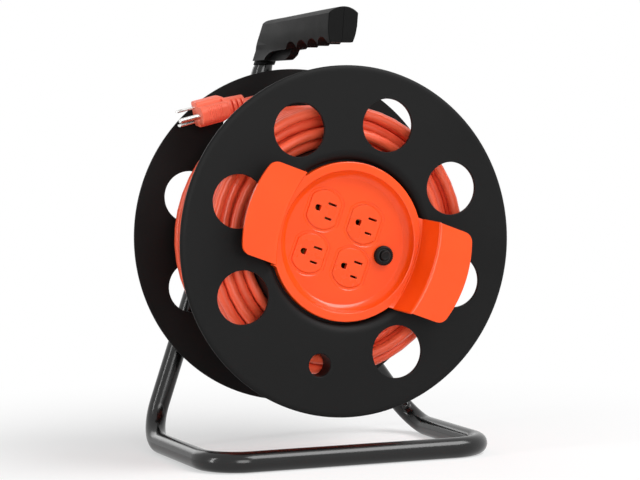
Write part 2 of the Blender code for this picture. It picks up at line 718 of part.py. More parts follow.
def make_socket_dish():
    """The orange panel: a shallow dish with two raised finger wings and openings for what it holds."""
    rim_low = -SHOULDER + GAP
    top = -DISH_SINK
    bowl = arc(DISH_FLOOR_RADIUS, DISH_FLOOR + DISH_CORNER, DISH_CORNER, 270, 360, 4)
    profile = [(0, DISH_FLOOR)] + bowl + [
        (DISH_FLOOR_RADIUS + DISH_CORNER + DISH_LIP, top - DISH_LIP_DROP),
        (DISH_RADIUS - DISH_EDGE, top),
        (DISH_RADIUS, top - DISH_EDGE),
        (DISH_RADIUS, rim_low),
        (LEDGE_RADIUS + GAP, rim_low),
        (DISH_FLOOR_RADIUS + DISH_BACK_SLOPE, DISH_BACK + DISH_BACK_RISE),
        (DISH_FLOOR_RADIUS, DISH_BACK),
        (0, DISH_BACK),
    ]
    dish = turned("socket_dish", profile, FACETS, ORANGE, PANEL)
    post_end = BOX_BACK + BOX_WALL + GAP
    join(dish, wing_shell(1), wing_shell(-1))
    join(dish, rods("box_post", BOX_POST_RADIUS, post_end, DISH_BACK + WELD, 10, None, PANEL, [BOX_POST]))
    for k, (u, v) in enumerate(OUTLETS):
        reach = (DISH_BACK - OVER, DISH_FLOOR + OVER)
        window = plate(f"outlet_window_{k + 1}", outlet_outline(GAP), *reach, None, PANEL)
        window.data.transform(Matrix.Translation((u, v, 0)))
        cut(dish, window)
    hole = rods("breaker_hole", BREAKER_NECK + GAP, DISH_BACK - OVER, 0, 16, None, PANEL, [(BREAKER_U, 0)])
    pilot_end = rim_low + PANEL_SCREW_BITE + GAP
    pilots = rods("panel_pilots", PANEL_SCREW + GAP, rim_low - OVER, pilot_end, 8, None, DRUM, PANEL_SCREWS)
    pilot_end = post_end + SCREW_BITE
    box_pilot = rods("box_pilot", SCREW + GAP, post_end - OVER, pilot_end, 8, None, PANEL, [BOX_POST])
    cut(dish, hole, pilots, box_pilot)


def make_outlet(number, u, v):
    """Outlet face with its slots and the flange that holds it behind the dish's floor."""
    place = empty(f"outlet_place_{number}", (u, v, 0), (0, 0, 0), PANEL)
    face = plate(f"outlet_{number}", outlet_outline(0), OUTLET_REAR, OUTLET_FACE, ORANGE, place)
    flange_top = OUTLET_REAR + OUTLET_FLANGE
    wide = outlet_outline(OUTLET_BACK)
    flange = plate(f"outlet_flange_{number}", wide, OUTLET_REAR, flange_top, None, place)
    join(face, flange)
    low = OUTLET_REAR - OVER
    high = OUTLET_FACE + OVER
    blade_u = GROUND_OFFSET / 2
    blade_v = BLADE_SPACING / 2
    for label, v_slot, length in (("long", blade_v, LONG_SLOT), ("short", -blade_v, SHORT_SLOT)):
        corner_low = (blade_u - length / 2, v_slot - SLOT_WIDTH / 2, low)
        corner_high = (blade_u + length / 2, v_slot + SLOT_WIDTH / 2, high)
        cut(face, block(f"{label}_slot_{number}", corner_low, corner_high, None, place))
    flat_end = -blade_u + GROUND_RADIUS
    hole = arc(-blade_u, 0, GROUND_RADIUS, 90, 270, 6)
    hole += [(flat_end, -GROUND_RADIUS), (flat_end, GROUND_RADIUS)]
    cut(face, plate(f"ground_hole_{number}", hole, low, high, None, place))


def make_terminal_box():
    """Cup behind the panel that closes in the contacts and the wiring."""
    inner = BOX_RADIUS - BOX_WALL
    floor = BOX_BACK + BOX_WALL
    profile = [
        (0, floor),
        (inner, floor),
        (inner, BOX_FRONT - BOX_RIM_DROP),
        (BOX_RADIUS, BOX_FRONT - BOX_RIM_DROP),
        (BOX_RADIUS, BOX_BACK),
        (0, BOX_BACK),
    ]
    box = turned("terminal_box", profile, 32, BLACK_PLASTIC, PANEL)
    through = (BOX_BACK - OVER, floor + OVER)
    cut(box, rods("box_screw_hole", SCREW + GAP, *through, 8, None, PANEL, [BOX_POST]))
    cut(box, rods("gland_hole", GLAND_RADIUS + GAP, *through, 16, None, DRUM, [LEAD_ENTRY]))


def make_cord_gland():
    """Flanged bush that grips the cord where it enters the terminal box."""
    place = empty("gland_place", (*LEAD_ENTRY, 0), (0, 0, 0), DRUM)
    floor = BOX_BACK + BOX_WALL
    bore = CORD_RADIUS + GAP
    profile = [
        (bore, floor + GLAND_PAST_FLOOR),
        (GLAND_RADIUS, floor + GLAND_PAST_FLOOR),
        (GLAND_RADIUS, BOX_BACK - GAP),
        (GLAND_FLANGE, BOX_BACK - GAP),
        (GLAND_FLANGE, BOX_BACK - GLAND_LENGTH),
        (bore, BOX_BACK - GLAND_LENGTH),
    ]
    turned("cord_gland", profile, 16, NYLON, place)


def make_inner_lead():
    """The cord's inner end, from the barrel's wall forward into the terminal box."""
    x, y = LEAD_ENTRY
    corners = [(BARREL_RADIUS - LEAD_SHORT, 0, ENTRY_Z), (x, y, ENTRY_Z), (x, y, LEAD_END)]
    tube("cord_inner_lead", bent(corners, LEAD_BEND, 6), CORD_RADIUS, CORD_RED, DRUM)


def make_contacts():
    """Three brass strips, one behind the other, each bridging the four outlets."""
    half = STRIP_WIDE / 2
    blade_u = GROUND_OFFSET / 2
    blade_v = BLADE_SPACING / 2
    rows = (("neutral", blade_u, blade_v), ("hot", blade_u, -blade_v), ("ground", -blade_u, 0.0))
    for level, (label, du, dv) in enumerate(rows):
        top = OUTLET_FACE - STRIP_DEPTH - level * STRIP_STEP
        low = top - STRIP_THICK
        u_low = OUTLETS[0][0] + du
        u_high = OUTLETS[1][0] + du
        v_high = OUTLETS[0][1] + dv
        v_low = OUTLETS[2][1] + dv
        left = u_low - half
        right = u_high + half
        name = f"{label}_strip"
        strip = block(name, (left, v_high - half, low), (right, v_high + half, top), BRASS, PANEL)
        lower = block(name + "_lower", (left, v_low - half, low), (right, v_low + half, top), None, PANEL)
        bridge = block(name + "_bridge", (left, v_low, low), (u_low + half, v_high, top), None, PANEL)
        join(strip, lower, bridge)


def make_breaker():
    """Push-to-reset breaker: body behind the floor, collar in front and a button that travels."""
    place = empty("breaker_place", (BREAKER_U, 0, 0), (0, 0, 0), PANEL)
    body_top = DISH_BACK - GAP
    collar_top = DISH_FLOOR + BREAKER_COLLAR_HIGH
    body = block(
        "breaker_body",
        (-BREAKER_WIDE / 2, -BREAKER_TALL / 2, body_top - BREAKER_DEEP),
        (BREAKER_WIDE / 2, BREAKER_TALL / 2, body_top),
        BLACK_PLASTIC,
        place,
    )
    neck_top = collar_top - BREAKER_NECK_SHORT
    join(body, rods("breaker_neck", BREAKER_NECK, body_top - WELD, neck_top, 16, None, place))
    stem_end = collar_top - BUTTON_STEM
    bore_end = stem_end - BUTTON_TRAVEL - BUTTON_ROOM
    cut(body, rods("button_bore", BUTTON_RADIUS + RUNNING, bore_end, collar_top + OVER, 16, None, place))
    inner = BREAKER_NECK + GAP
    profile = [
        (inner, collar_top),
        (BREAKER_COLLAR - BREAKER_EDGE, collar_top),
        (BREAKER_COLLAR, collar_top - BREAKER_EDGE),
        (BREAKER_COLLAR, DISH_FLOOR + GAP),
        (inner, DISH_FLOOR + GAP),
    ]
    turned("breaker_collar", profile, 24, BLACK_PLASTIC, place)
    button_top = collar_top + BUTTON_PROUD
    profile = [
        (0, button_top),
        (BUTTON_RADIUS - BUTTON_EDGE, button_top),
        (BUTTON_RADIUS, button_top - BUTTON_EDGE),
        (BUTTON_RADIUS, stem_end),
        (0, stem_end),
    ]
    turned("reset_button", profile, 20, BLACK_PLASTIC, place)


def make_wires():
    """Three insulated leads from the cord's end to the breaker and to two of the strips."""
    turn = Matrix.Rotation(math.radians(PANEL_ANGLE - 90), 2)
    entry = turn @ Vector(LEAD_ENTRY)
    start = LEAD_END + GAP
    blade_u = GROUND_OFFSET / 2
    u, v = OUTLETS[1]
    strip_low = OUTLET_FACE - STRIP_DEPTH - STRIP_THICK - GAP
    hot_end = Vector((BREAKER_U, -BREAKER_TALL / 4, DISH_BACK - 2 * GAP - BREAKER_DEEP))
    neutral_end = Vector((u + blade_u, v + BLADE_SPACING / 2, strip_low))
    ground_end = Vector((u - blade_u, v, strip_low - 2 * STRIP_STEP))
    apart = 2 * WIRE_RADIUS
    routes = (
        ("hot_lead", hot_end, (0.0, -apart), HOT_WIRE),
        ("ground_lead", ground_end, (-0.8 * apart, 0.6 * apart), GROUND_WIRE),
        ("neutral_lead", neutral_end, (0.8 * apart, 0.7 * apart), NEUTRAL_WIRE),
    )
    for step, (name, end, (du, dv), paint) in enumerate(routes):
        level = start + WIRE_RADIUS * (2 + 2.5 * step)
        foot = Vector((entry.x + du, entry.y + dv, start))
        corners = [foot, (foot.x, foot.y, level), (end.x, end.y, level), end]
        tube(name, bent(corners, 1.2 * WIRE_RADIUS, 2), WIRE_RADIUS, paint, PANEL, resolution=1)


def screw(name, radius, head, head_high, length, parent, place, base, facing):
    """Pan-head screw: its head sits on the plane at base and its shank runs the other way."""
    axis = empty(name + "_axis", (*place, base), (0 if facing > 0 else math.pi, 0, 0), parent)
    profile = [
        (0, head_high),
        (0.6 * head, head_high),
        (head, 0.5 * head_high),
        (head, 0),
        (radius, 0),
        (radius, -length),
        (0, -length),
    ]
    turned(name, profile, 10, STEEL, axis)


def make_screws():
    rear = -DRUM_WIDTH - FLANGE_THICK - GAP
    length = FLANGE_THICK + SPIGOT_LENGTH + SCREW_BITE
    for k, place in enumerate(POSTS):
        screw(f"rear_screw_{k + 1}", SCREW, SCREW_HEAD, SCREW_HEAD_HIGH, length, DRUM, place, rear, -1)
    ledge = -SHOULDER - LEDGE_THICK - GAP
    head = (PANEL_SCREW_HEAD, PANEL_SCREW_HEAD_HIGH)
    length = LEDGE_THICK + PANEL_SCREW_BITE
    for k, place in enumerate(PANEL_SCREWS):
        screw(f"panel_screw_{k + 1}", PANEL_SCREW, *head, length, DRUM, place, ledge, -1)
    length = BOX_WALL + SCREW_BITE - SCREW_ROOM
    screw("box_screw", SCREW, SCREW_HEAD, SCREW_HEAD_HIGH, length, PANEL, BOX_POST, BOX_BACK - GAP, -1)


def make_axle():
    """Fixed axle with a threaded nose and tail, its bushes, washers and nuts."""
    shoulder = LEG_SETBACK - TUBE_RADIUS - GAP
    front = HUB_FRONT - GAP
    nose_end = front - WASHER_THICK - NUT_HEIGHT - THREAD_PAST_NUT
    profile = [
        (0, -nose_end),
        (AXLE_NOSE - AXLE_EDGE, -nose_end),
        (AXLE_NOSE, -nose_end - AXLE_EDGE),
        (AXLE_NOSE, -front),
        (AXLE_RADIUS, -front),
        (AXLE_RADIUS, -shoulder),
        (AXLE_TAIL, -shoulder),
        (AXLE_TAIL, -REAR_REACH),
        (0, -REAR_REACH),
    ]
    turned("axle", profile, 24, STEEL, AXLE_LINE)
    inner = AXLE_RADIUS + RUNNING
    outer = inner + BUSH_WALL
    ends = (("front", -HUB_FRONT), ("rear", -HUB_REAR + BUSH_LENGTH))
    for label, top in ends:
        low = top - BUSH_LENGTH
        turned(f"hub_bush_{label}", [(inner, top), (outer, top), (outer, low), (inner, low)], 24, NYLON, DRUM)
    seats = (
        ("front_washer", AXLE_NOSE + GAP, -front + WASHER_THICK + GAP),
        ("rear_washer", AXLE_RADIUS + GAP, -HUB_REAR - 2 * GAP),
    )
    for label, bore, top in seats:
        low = top - WASHER_THICK
        profile = [(bore, top), (WASHER_RADIUS, top), (WASHER_RADIUS, low), (bore, low)]
        turned(label, profile, 24, STEEL, AXLE_LINE)
    nut_low = -front + WASHER_THICK + 2 * GAP
    hex_nut("axle_front_nut", AXLE_NOSE, nut_low, AXLE_LINE)
    hex_nut("axle_rear_nut", AXLE_TAIL, -LEG_SETBACK - TUBE_RADIUS - GAP - NUT_HEIGHT, AXLE_LINE)


def hex_nut(name, thread, low, parent):
    nut = rods(name, NUT_SHARE * thread, low, low + NUT_HEIGHT, 6, STEEL, parent)
    cut(nut, rods(name + "_bore", thread + GAP, low - OVER, low + NUT_HEIGHT + OVER, 16, None, parent))


def bend_middle():
    return RIGHT_FOOT + (RIGHT_LEG + FORWARD) * BASE_BEND


def bend_point(degrees):
    """A point of the right rear bend's centre line, counted down from its upper end."""
    angle = math.radians(degrees)
    return bend_middle() - (FORWARD * math.cos(angle) + RIGHT_LEG * math.sin(angle)) * BASE_BEND


def handle_path(past):
    """The tube's run inside the grip and its bend, to where it has widened; past lengthens the front end."""
    front = GRIP_CORNER + FORWARD * (TUBE_IN_GRIP + past)
    run = bent([front, GRIP_CORNER, GRIP_CORNER - LEFT_LEG * SWAGE_TOP], HANDLE_BEND, 5)
    return run + [GRIP_CORNER - LEFT_LEG * SWAGE_END]


def leg_meeting():
    """Where the right leg, run on past the axle, reaches the left leg's centre line."""
    across = (AXLE_HEIGHT - BASE_Z) * LEG_LEAN - BASE_LEFT
    return AXLE_POINT + RIGHT_LEG * across / (RIGHT_LEG.x - RIGHT_LEG.z * LEG_LEAN)


def make_stand():
    """One bent tube from the grip down the left leg and round the base, and the leg that holds the axle."""
    base = [
        GRIP_CORNER - LEFT_LEG * SWAGE_END,
        LEFT_FOOT,
        Vector((-BASE_FRONT_LEFT, BAR_Y, BASE_Z)),
        Vector((BASE_RIGHT, BAR_Y, BASE_Z)),
        RIGHT_FOOT,
        JOINT,
    ]
    flat_down = math.pi / TUBE_SIDES
    handle = handle_path(0)
    path = handle + bent(base, BASE_BEND, 6)[1:]
    shares = [TENON_RADIUS / TUBE_RADIUS] * (len(handle) - 1)
    stand = tube("stand_tube", path, TUBE_RADIUS, BLACK_STEEL, STAND, 4, flat_down, shares)
    steps = 5
    run = [bend_point(SLEEVE_START * (1 - k / steps)) for k in range(steps + 1)]
    socket = [bend_point(SLEEVE_START + SLEEVE_ROOM)] + run + [JOINT + RIGHT_LEG * 2 * OVER]
    cut(stand, tube("sleeve_socket", socket, (SLEEVE_RADIUS + GAP) / math.cos(math.pi / 8), None, STAND))
    line = [JOINT + RIGHT_LEG * GAP, leg_meeting()]
    leg = tube("right_leg", line, TUBE_RADIUS, BLACK_STEEL, STAND, resolution=4)
    join(leg, tube("leg_sleeve", run + [JOINT + RIGHT_LEG * WELD], SLEEVE_RADIUS, None, STAND))
    cope = [LEFT_FOOT + LEFT_LEG * BASE_BEND, GRIP_CORNER]
    cut(leg, tube("leg_cope", cope, (TUBE_RADIUS + GAP) / math.cos(flat_down), None, STAND, resolution=4))
    through = (-REAR_REACH, -LEG_SETBACK + 2 * TUBE_RADIUS)
    cut(leg, rods("axle_hole", AXLE_TAIL + GAP, *through, 16, None, AXLE_LINE))
    place = bend_point(BOLT_PLACE)
    inward = (bend_middle() - place).normalized()
    bolt_axis = empty("leg_bolt_axis", place, inward.to_track_quat("Z", "Y").to_euler())
    hole = rods("leg_bolt_hole", BOLT_RADIUS + GAP, -2 * TUBE_RADIUS, 2 * TUBE_RADIUS, 12, None, bolt_axis)
    cut(stand, hole)
    cut(leg, hole)
    seat = TUBE_RADIUS + GAP
    head = seat + GAP + BOLT_HEAD**2 / 2 / (BASE_BEND - TUBE_RADIUS)
    profile = [
        (0, head + BOLT_HEAD_HIGH),
        (0.6 * BOLT_HEAD, head + 0.85 * BOLT_HEAD_HIGH),
        (BOLT_HEAD, head + 0.3 * BOLT_HEAD_HIGH),
        (BOLT_HEAD, head),
        (BOLT_RADIUS, head),
        (BOLT_RADIUS, -seat - BOLT_NUT - BOLT_PAST_NUT),
        (0, -seat - BOLT_NUT - BOLT_PAST_NUT),
    ]
    turned("leg_bolt", profile, 16, BLACK_STEEL, bolt_axis)
    nut = rods("leg_bolt_nut", NUT_SHARE * BOLT_RADIUS, -seat - BOLT_NUT, -seat, 6, STEEL, bolt_axis)
    cut(nut, rods("leg_bolt_nut_bore", BOLT_RADIUS + GAP, -seat - 2 * BOLT_NUT, 0, 12, None, bolt_axis))


def grip_lean(along):
    """Sideways lean of the grip's section at a distance in front of the legs, per unit of height."""
    share = (along - LEAN_START) / (LEAN_END - LEAN_START)
    return LEG_LEAN + (GRIP_FRONT_LEAN - LEG_LEAN) * min(1.0, max(0.0, share))


def grip_side():
    """The grip seen from the side, cut off square past its front end."""
    beyond = GRIP_REACH + GRIP_HALF_WIDTH
    above = GRIP_TOP + OVER
    corner = GRIP_REAR_CORNER
    squash = (NECK_DROP - GRIP_BOTTOM) / NECK_SWEEP
    outline = (
        [(-GRIP_REAR, -NECK_DROP)]
        + arc(NECK_FRONT + NECK_SWEEP, -NECK_DROP, NECK_SWEEP, 180, 90, 4, squash)
        + [(beyond, -GRIP_BOTTOM), (beyond, above), (corner, above)]
        + arc(-GRIP_REAR + corner, GRIP_TOP - GRIP_RISE - corner, corner, 90, 180, 4)
    )
    return plate("grip_form", outline, -GRIP_HALF_WIDTH - OVER, GRIP_HALF_WIDTH + OVER, None, None)


def grip_section():
    """The grip's section along its length: arched on top and drawn in below, its top rising to the front."""
    rear_top = GRIP_TOP - GRIP_RISE
    arch_radius = (GRIP_HALF_WIDTH**2 + GRIP_ARCH**2) / (2 * GRIP_ARCH)
    spread = math.degrees(math.asin(GRIP_HALF_WIDTH / arch_radius))
    flank = [(GRIP_HALF_WIDTH, 0.0), *GRIP_FLANK, (GRIP_FLANK[-1][0], -2 * NECK_DROP)]
    outline = (
        arc(0, rear_top - arch_radius, arch_radius, 90 + spread, 90 - spread, 6)
        + flank
        + [(-across, up) for across, up in reversed(flank)]
    )
    prism = plate("grip_section", outline, -GRIP_REAR - OVER, GRIP_REACH, None, None)
    prism.data.transform(Matrix(((0, 0, 1, 0), (0, 1, 0, 0), (-1, 0, 0, 0), (0, 0, 0, 1))))
    for vertex in prism.data.vertices:
        if vertex.co.y > 0:
            vertex.co.y += GRIP_RISE * (vertex.co.x + GRIP_REAR) / (GRIP_REACH + GRIP_REAR)
    return prism


def grip_plan():
    """The grip seen from above, with its round rear end."""
    squash = GRIP_HALF_WIDTH / GRIP_REAR_ROUND
    outline = arc(GRIP_REAR_ROUND - GRIP_REAR, 0, GRIP_REAR_ROUND, 90, 270, 8, squash)
    outline += [(GRIP_REACH + OVER, -GRIP_HALF_WIDTH), (GRIP_REACH + OVER, GRIP_HALF_WIDTH)]
    prism = plate("grip_plan", outline, -2 * NECK_DROP, 2 * NECK_DROP, None, None)
    prism.data.transform(Matrix.Rotation(math.pi / 2, 4, "X"))
    return prism


def grip_form():
    """The whole grip before it leans and is split: x runs forward from the legs, y up and z to the left."""
    form = grip_side()
    combine(form, grip_section(), "INTERSECT")
    combine(form, grip_plan(), "INTERSECT")
    web = [
        (WEB_ROOT, -GRIP_BOTTOM + WELD),
        (WEB_ROOT, -WEB_DROP),
        (WEB_REACH - WEB_RUN_OUT * (WEB_DROP - GRIP_BOTTOM), -WEB_DROP),
        (WEB_REACH, -GRIP_BOTTOM),
        (WEB_REACH, -GRIP_BOTTOM + WELD),
    ]
    join(form, plate("grip_web", web, -WEB_HALF, WEB_HALF, None, None))
    collar = rods("grip_collar", COLLAR_RADIUS, NECK_DROP - WELD, NECK_DROP + COLLAR_HIGH, 20, None, None)
    collar.data.transform(Matrix.Rotation(math.pi / 2, 4, "X"))
    join(form, collar)
    roll_y = -GRIP_BOTTOM - FINGER_ROLL + FINGER_CUT
    rolls = [(FINGER_FIRST + FINGER_PITCH * k, roll_y) for k in range(FINGER_COUNT)]
    across = 2 * GRIP_HALF_WIDTH
    cut(form, rods("finger_rolls", FINGER_ROLL, -across, across, 24, None, None, rolls))
    return form


def make_grip():
    """Two moulded halves that close round the tube's end, held by two screws."""
    facing = Matrix(((0, 0, -1), (-1, 0, 0), (0, 1, 0)))
    place = empty("grip_place", GRIP_CORNER, facing.to_euler())
    form = grip_form()
    path = handle_path(2 * GAP)
    path += [GRIP_CORNER - LEFT_LEG * 2 * SWAGE_END]
    wide = TUBE_RADIUS + GRIP_WALL_ROOM
    shares = [(TENON_RADIUS + GRIP_WALL_ROOM) / wide] * (len(path) - 2)
    bore = tube("grip_bore", path, wide, None, STAND, 4, math.pi / TUBE_SIDES, shares)
    holes = []
    for label, (along, up, half) in (("front", GRIP_SCREW_FRONT), ("rear", GRIP_SCREW_REAR)):
        name = f"grip_screw_{label}"
        seat = -grip_lean(along) * up - half + GRIP_SCREW_SINK
        length = half - GRIP_SCREW_SINK + GRIP_SCREW_BITE
        head = (GRIP_SCREW_HEAD, GRIP_SCREW_HEAD_HIGH)
        screw(name, GRIP_SCREW, *head, length, place, (along, up), seat - GAP, -1)
        low = seat - 2 * GRIP_HALF_WIDTH
        end = seat + length + GAP
        holes.append(rods(name + "_hole", GRIP_SCREW + GAP, low, end, 8, None, place, [(along, up)]))
        holes.append(rods(name + "_sink", GRIP_SCREW_HEAD + GAP, low, seat, 12, None, place, [(along, up)]))
    blank = add("grip_blank", baked(form), None, None)
    low = (-GRIP_REACH, -GRIP_REACH, GAP / 2)
    high = (2 * GRIP_REACH, GRIP_REACH, 2 * GRIP_HALF_WIDTH)
    combine(blank, block("grip_half_room", low, high, None, None), "INTERSECT")
    for label, side in (("left", 1), ("right", -1)):
        bm = bmesh.new()
        bm.from_mesh(baked(blank))
        bmesh.ops.triangulate(bm, faces=bm.faces)  # alike in both halves, so that their seam stays even
        for vertex in bm.verts:
            vertex.co.z = side * vertex.co.z - grip_lean(vertex.co.x) * vertex.co.y
        if side < 0:
            bmesh.ops.reverse_faces(bm, faces=bm.faces)
        half = add(f"grip_{label}", mesh_of(f"grip_{label}", bm), GRIP_PLASTIC, place)
        cut(half, bore, *holes)


def winding_path():
    """The outer layer's turns from the front to the rear, then the tail that leaves it for the plug."""
    sweep = 360 * TURNS
    first = TAIL_ANGLE + sweep
    rise = math.degrees(math.acos(START_RADIUS / OUTER_LAYER))
    path = []
    for turn in (0, rise - START_STRAIGHT):
        path.append((*clock(START_RADIUS / math.cos(math.radians(turn)), first - turn), FIRST_TURN))
    settled = rise + START_SETTLED
    step = 360 / LOOP_POINTS
    turns = [settled] + [step * k for k in range(math.ceil(settled / step), LOOP_POINTS * TURNS + 1)]
    for turn in turns:
        share = (turn - settled) / (sweep - settled)
        path.append((*clock(OUTER_LAYER, first - turn), FIRST_TURN + (LAST_TURN - FIRST_TURN) * share))
    ahead = plug_direction()
    end = Vector((PLUG_END_X, PLUG_END_Y, -PLUG_DEPTH))
    straight = end - ahead * 3 * CORD_RADIUS
    high = straight.xy.length
    low_angle = math.degrees(math.atan2(straight.x, straight.y))
    leaves, arrives = TAIL_CROSSING
    for k in range(1, TAIL_POINTS):
        share = k / TAIL_POINTS
        angle = TAIL_ANGLE + (low_angle - TAIL_ANGLE) * share
        radius = OUTER_LAYER + (high - OUTER_LAYER) * ease(share)
        depth = LAST_TURN + (end.z - LAST_TURN) * ease((share - leaves) / (arrives - leaves))
        path.append((*clock(radius, angle), depth))
    return path + [tuple(straight), tuple(end)]


def plug_direction():
    droop = math.radians(PLUG_DROOP)
    return Vector((-math.cos(droop), -math.sin(droop), 0))


def least_gap(path, radius):
    """Least clear distance between stretches of a tube that lie well apart along it."""
    spacing = radius
    samples = []
    travel = []
    run = 0.0
    for near, far in zip(path, path[1:]):
        near = Vector(near)
        leap = Vector(far) - near
        count = max(1, round(leap.length / spacing))
        for k in range(count):
            samples.append(near + leap * k / count)
            travel.append(run + leap.length * k / count)
        run += leap.length
    points = np.array(samples)
    along = np.array(travel)
    least = math.inf
    for place, here in zip(points, along):
        apart = np.linalg.norm(points - place, axis=1)
        apart[np.abs(along - here) < 12 * radius] = math.inf
        least = min(least, apart.min())
    return least - 2 * radius


def make_cord():
    """The wound cord: a plain core for the inner layers, and the outer layer with its tail as one tube."""
    front = -WINDING_FRONT
    back = -DRUM_WIDTH + WINDING_REAR
    inner = BARREL_RADIUS + GAP
    profile = [(inner, front), (CORE_RADIUS, front), (CORE_RADIUS, back), (inner, back)]
    core = turned("cord_core", profile, FACETS, CORD_RED, DRUM)
    notch_turn = empty("notch_turn", (0, 0, 0), (0, 0, -math.radians(TAIL_ANGLE)), DRUM)
    notch = block(
        "core_notch",
        (-START_RADIUS, START_RADIUS - CORD_RADIUS - NOTCH_ROOM, FIRST_TURN - CORD_RADIUS - 2 * GAP),
        (GAP, OUTER_LAYER + CORD_RADIUS, front + OVER),
        None,
        notch_turn,
    )
    cut(core, notch)
    path = winding_path()
    tube("cord_outer_layer", path, CORD_RADIUS, CORD_RED, DRUM, resolution=1)
    print(f"least gap of the winding to itself: {least_gap(path, CORD_RADIUS) / MM:.2f} mm")


def plug_outline():
    """The plug's body seen from its face: x up and y to the back, narrower towards the ground pin."""
    tall = PLUG_HALF_TALL - PLUG_ROUND
    lobe = PLUG_LOBE - PLUG_ROUND
    wide = PLUG_HALF_WIDE - PLUG_ROUND
    return (
        arc(tall, wide, PLUG_ROUND, 0, 90, 2)
        + arc(-tall, wide, PLUG_ROUND, 90, 180, 2)
        + arc(-tall, PLUG_STEP + PLUG_ROUND, PLUG_ROUND, 180, 270, 2)
        + [(-PLUG_LOBE, PLUG_STEP - PLUG_SLOPE)]
        + arc(-lobe, -wide, PLUG_ROUND, 180, 270, 2)
        + arc(lobe, -wide, PLUG_ROUND, 270, 360, 2)
        + [(PLUG_LOBE, PLUG_STEP - PLUG_SLOPE)]
        + arc(tall, PLUG_STEP + PLUG_ROUND, PLUG_ROUND, 270, 360, 2)
    )


def make_plug():
    """Moulded three-pin plug with its slotted relief; the pins sit in pockets in its face."""
    ahead = plug_direction()
    up = Vector((ahead.y, -ahead.x, 0))
    level = Matrix((up, (0, 0, -1), ahead)).transposed()
    facing = Matrix.Rotation(math.radians(-PLUG_ROLL), 3, ahead) @ level
    place = empty("plug_axis", (PLUG_END_X, PLUG_END_Y, -PLUG_DEPTH), facing.to_euler(), DRUM)
    rear = RELIEF_LENGTH + PLUG_NECK
    face = rear + PLUG_BODY
    body = plate("plug_body", plug_outline(), rear, face, CORD_RED, place)
    profile = [
        (0, rear + WELD),
        (PLUG_HALF_TALL - PLUG_EDGE, rear + WELD),
        (RELIEF_RADIUS, RELIEF_LENGTH),
        (RELIEF_END, GAP),
        (0, GAP),
    ]
    join(body, turned("plug_relief", profile, 16, None, place))
    for k in range(RELIEF_SLOTS):
        low = RELIEF_SLOT_FIRST + RELIEF_SLOT_PITCH * k
        for label, side in (("front", -1), ("back", 1)):
            near = side * RELIEF_CORE
            far = side * 2 * RELIEF_RADIUS
            slot = block(
                f"relief_slot_{label}_{k + 1}",
                (-2 * RELIEF_RADIUS, min(near, far), low),
                (2 * RELIEF_RADIUS, max(near, far), low + RELIEF_SLOT),
                None,
                place,
            )
            cut(body, slot)
    for k in range(PLUG_GROOVES):
        low = rear + GROOVE_FIRST + GROOVE_PITCH * k
        groove = block(
            f"plug_groove_{k + 1}",
            (-PLUG_LOBE + PLUG_ROUND, -2 * PLUG_HALF_WIDE, low),
            (PLUG_LOBE - PLUG_ROUND, -PLUG_HALF_WIDE + GROOVE_DEPTH, low + GROOVE_WIDE),
            None,
            place,
        )
        cut(body, groove)
    blade_y = GROUND_OFFSET / 2
    root = face - PRONG_ROOT
    for label, x in (("neutral", BLADE_SPACING / 2), ("hot", -BLADE_SPACING / 2)):
        half_thick = PLUG_BLADE_THICK / 2
        half_wide = PLUG_BLADE_WIDE / 2
        block(
            f"plug_{label}_blade",
            (x - half_thick, blade_y - half_wide, root),
            (x + half_thick, blade_y + half_wide, face + PLUG_BLADE),
            BRASS,
            place,
            half_thick / 2,
            1,
        )
        pocket = block(
            f"plug_{label}_pocket",
            (x - half_thick - GAP, blade_y - half_wide - GAP, root - GAP),
            (x + half_thick + GAP, blade_y + half_wide + GAP, face + OVER),
            None,
            place,
        )
        cut(body, pocket)
    pin_place = empty("plug_pin_place", (0, -blade_y, 0), (0, 0, 0), place)
    tip = face + PIN_LENGTH
    profile = [
        (0, tip),
        (0.5 * PIN_RADIUS, tip - 0.2 * PIN_RADIUS),
        (PIN_RADIUS, tip - PIN_RADIUS),
        (PIN_RADIUS, root),
        (0, root),
    ]
    turned("plug_ground_pin", profile, 12, BRASS, pin_place)
    cut(body, rods("plug_pin_pocket", PIN_RADIUS + GAP, root - GAP, face + OVER, 12, None, pin_place))


def main():
    make_stand()
    make_grip()
    make_axle()
    make_front_flange()
    make_rear_flange()
    make_barrel()
    make_socket_dish()
    for number, (u, v) in enumerate(OUTLETS, 1):
        make_outlet(number, u, v)
    make_breaker()
    make_terminal_box()
    make_contacts()
    make_wires()
    make_cord_gland()
    make_entry_grommet()
    make_inner_lead()
    make_screws()
    make_cord()
    make_plug()


main()
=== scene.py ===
from math import acos, asin, atan2, cos, degrees, hypot, pi, radians, sin, sqrt, tan, tau

import bmesh
import bpy
from mathutils import Matrix, Vector


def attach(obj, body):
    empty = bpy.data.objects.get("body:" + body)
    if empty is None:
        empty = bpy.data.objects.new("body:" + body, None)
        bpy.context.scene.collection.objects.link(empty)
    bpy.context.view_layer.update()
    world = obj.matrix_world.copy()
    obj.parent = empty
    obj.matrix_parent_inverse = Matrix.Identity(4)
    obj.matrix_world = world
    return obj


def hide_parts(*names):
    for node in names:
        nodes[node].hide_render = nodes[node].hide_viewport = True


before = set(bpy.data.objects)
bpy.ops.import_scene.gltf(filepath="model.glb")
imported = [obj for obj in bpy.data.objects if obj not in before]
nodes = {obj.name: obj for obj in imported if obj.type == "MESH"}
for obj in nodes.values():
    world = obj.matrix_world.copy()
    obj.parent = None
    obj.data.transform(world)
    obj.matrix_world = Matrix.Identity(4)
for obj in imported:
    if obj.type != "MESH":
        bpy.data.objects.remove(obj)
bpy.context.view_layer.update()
for spare in ("Cube", "Light", "Camera"):
    if spare in bpy.data.objects:
        bpy.data.objects.remove(bpy.data.objects[spare], do_unlink=True)

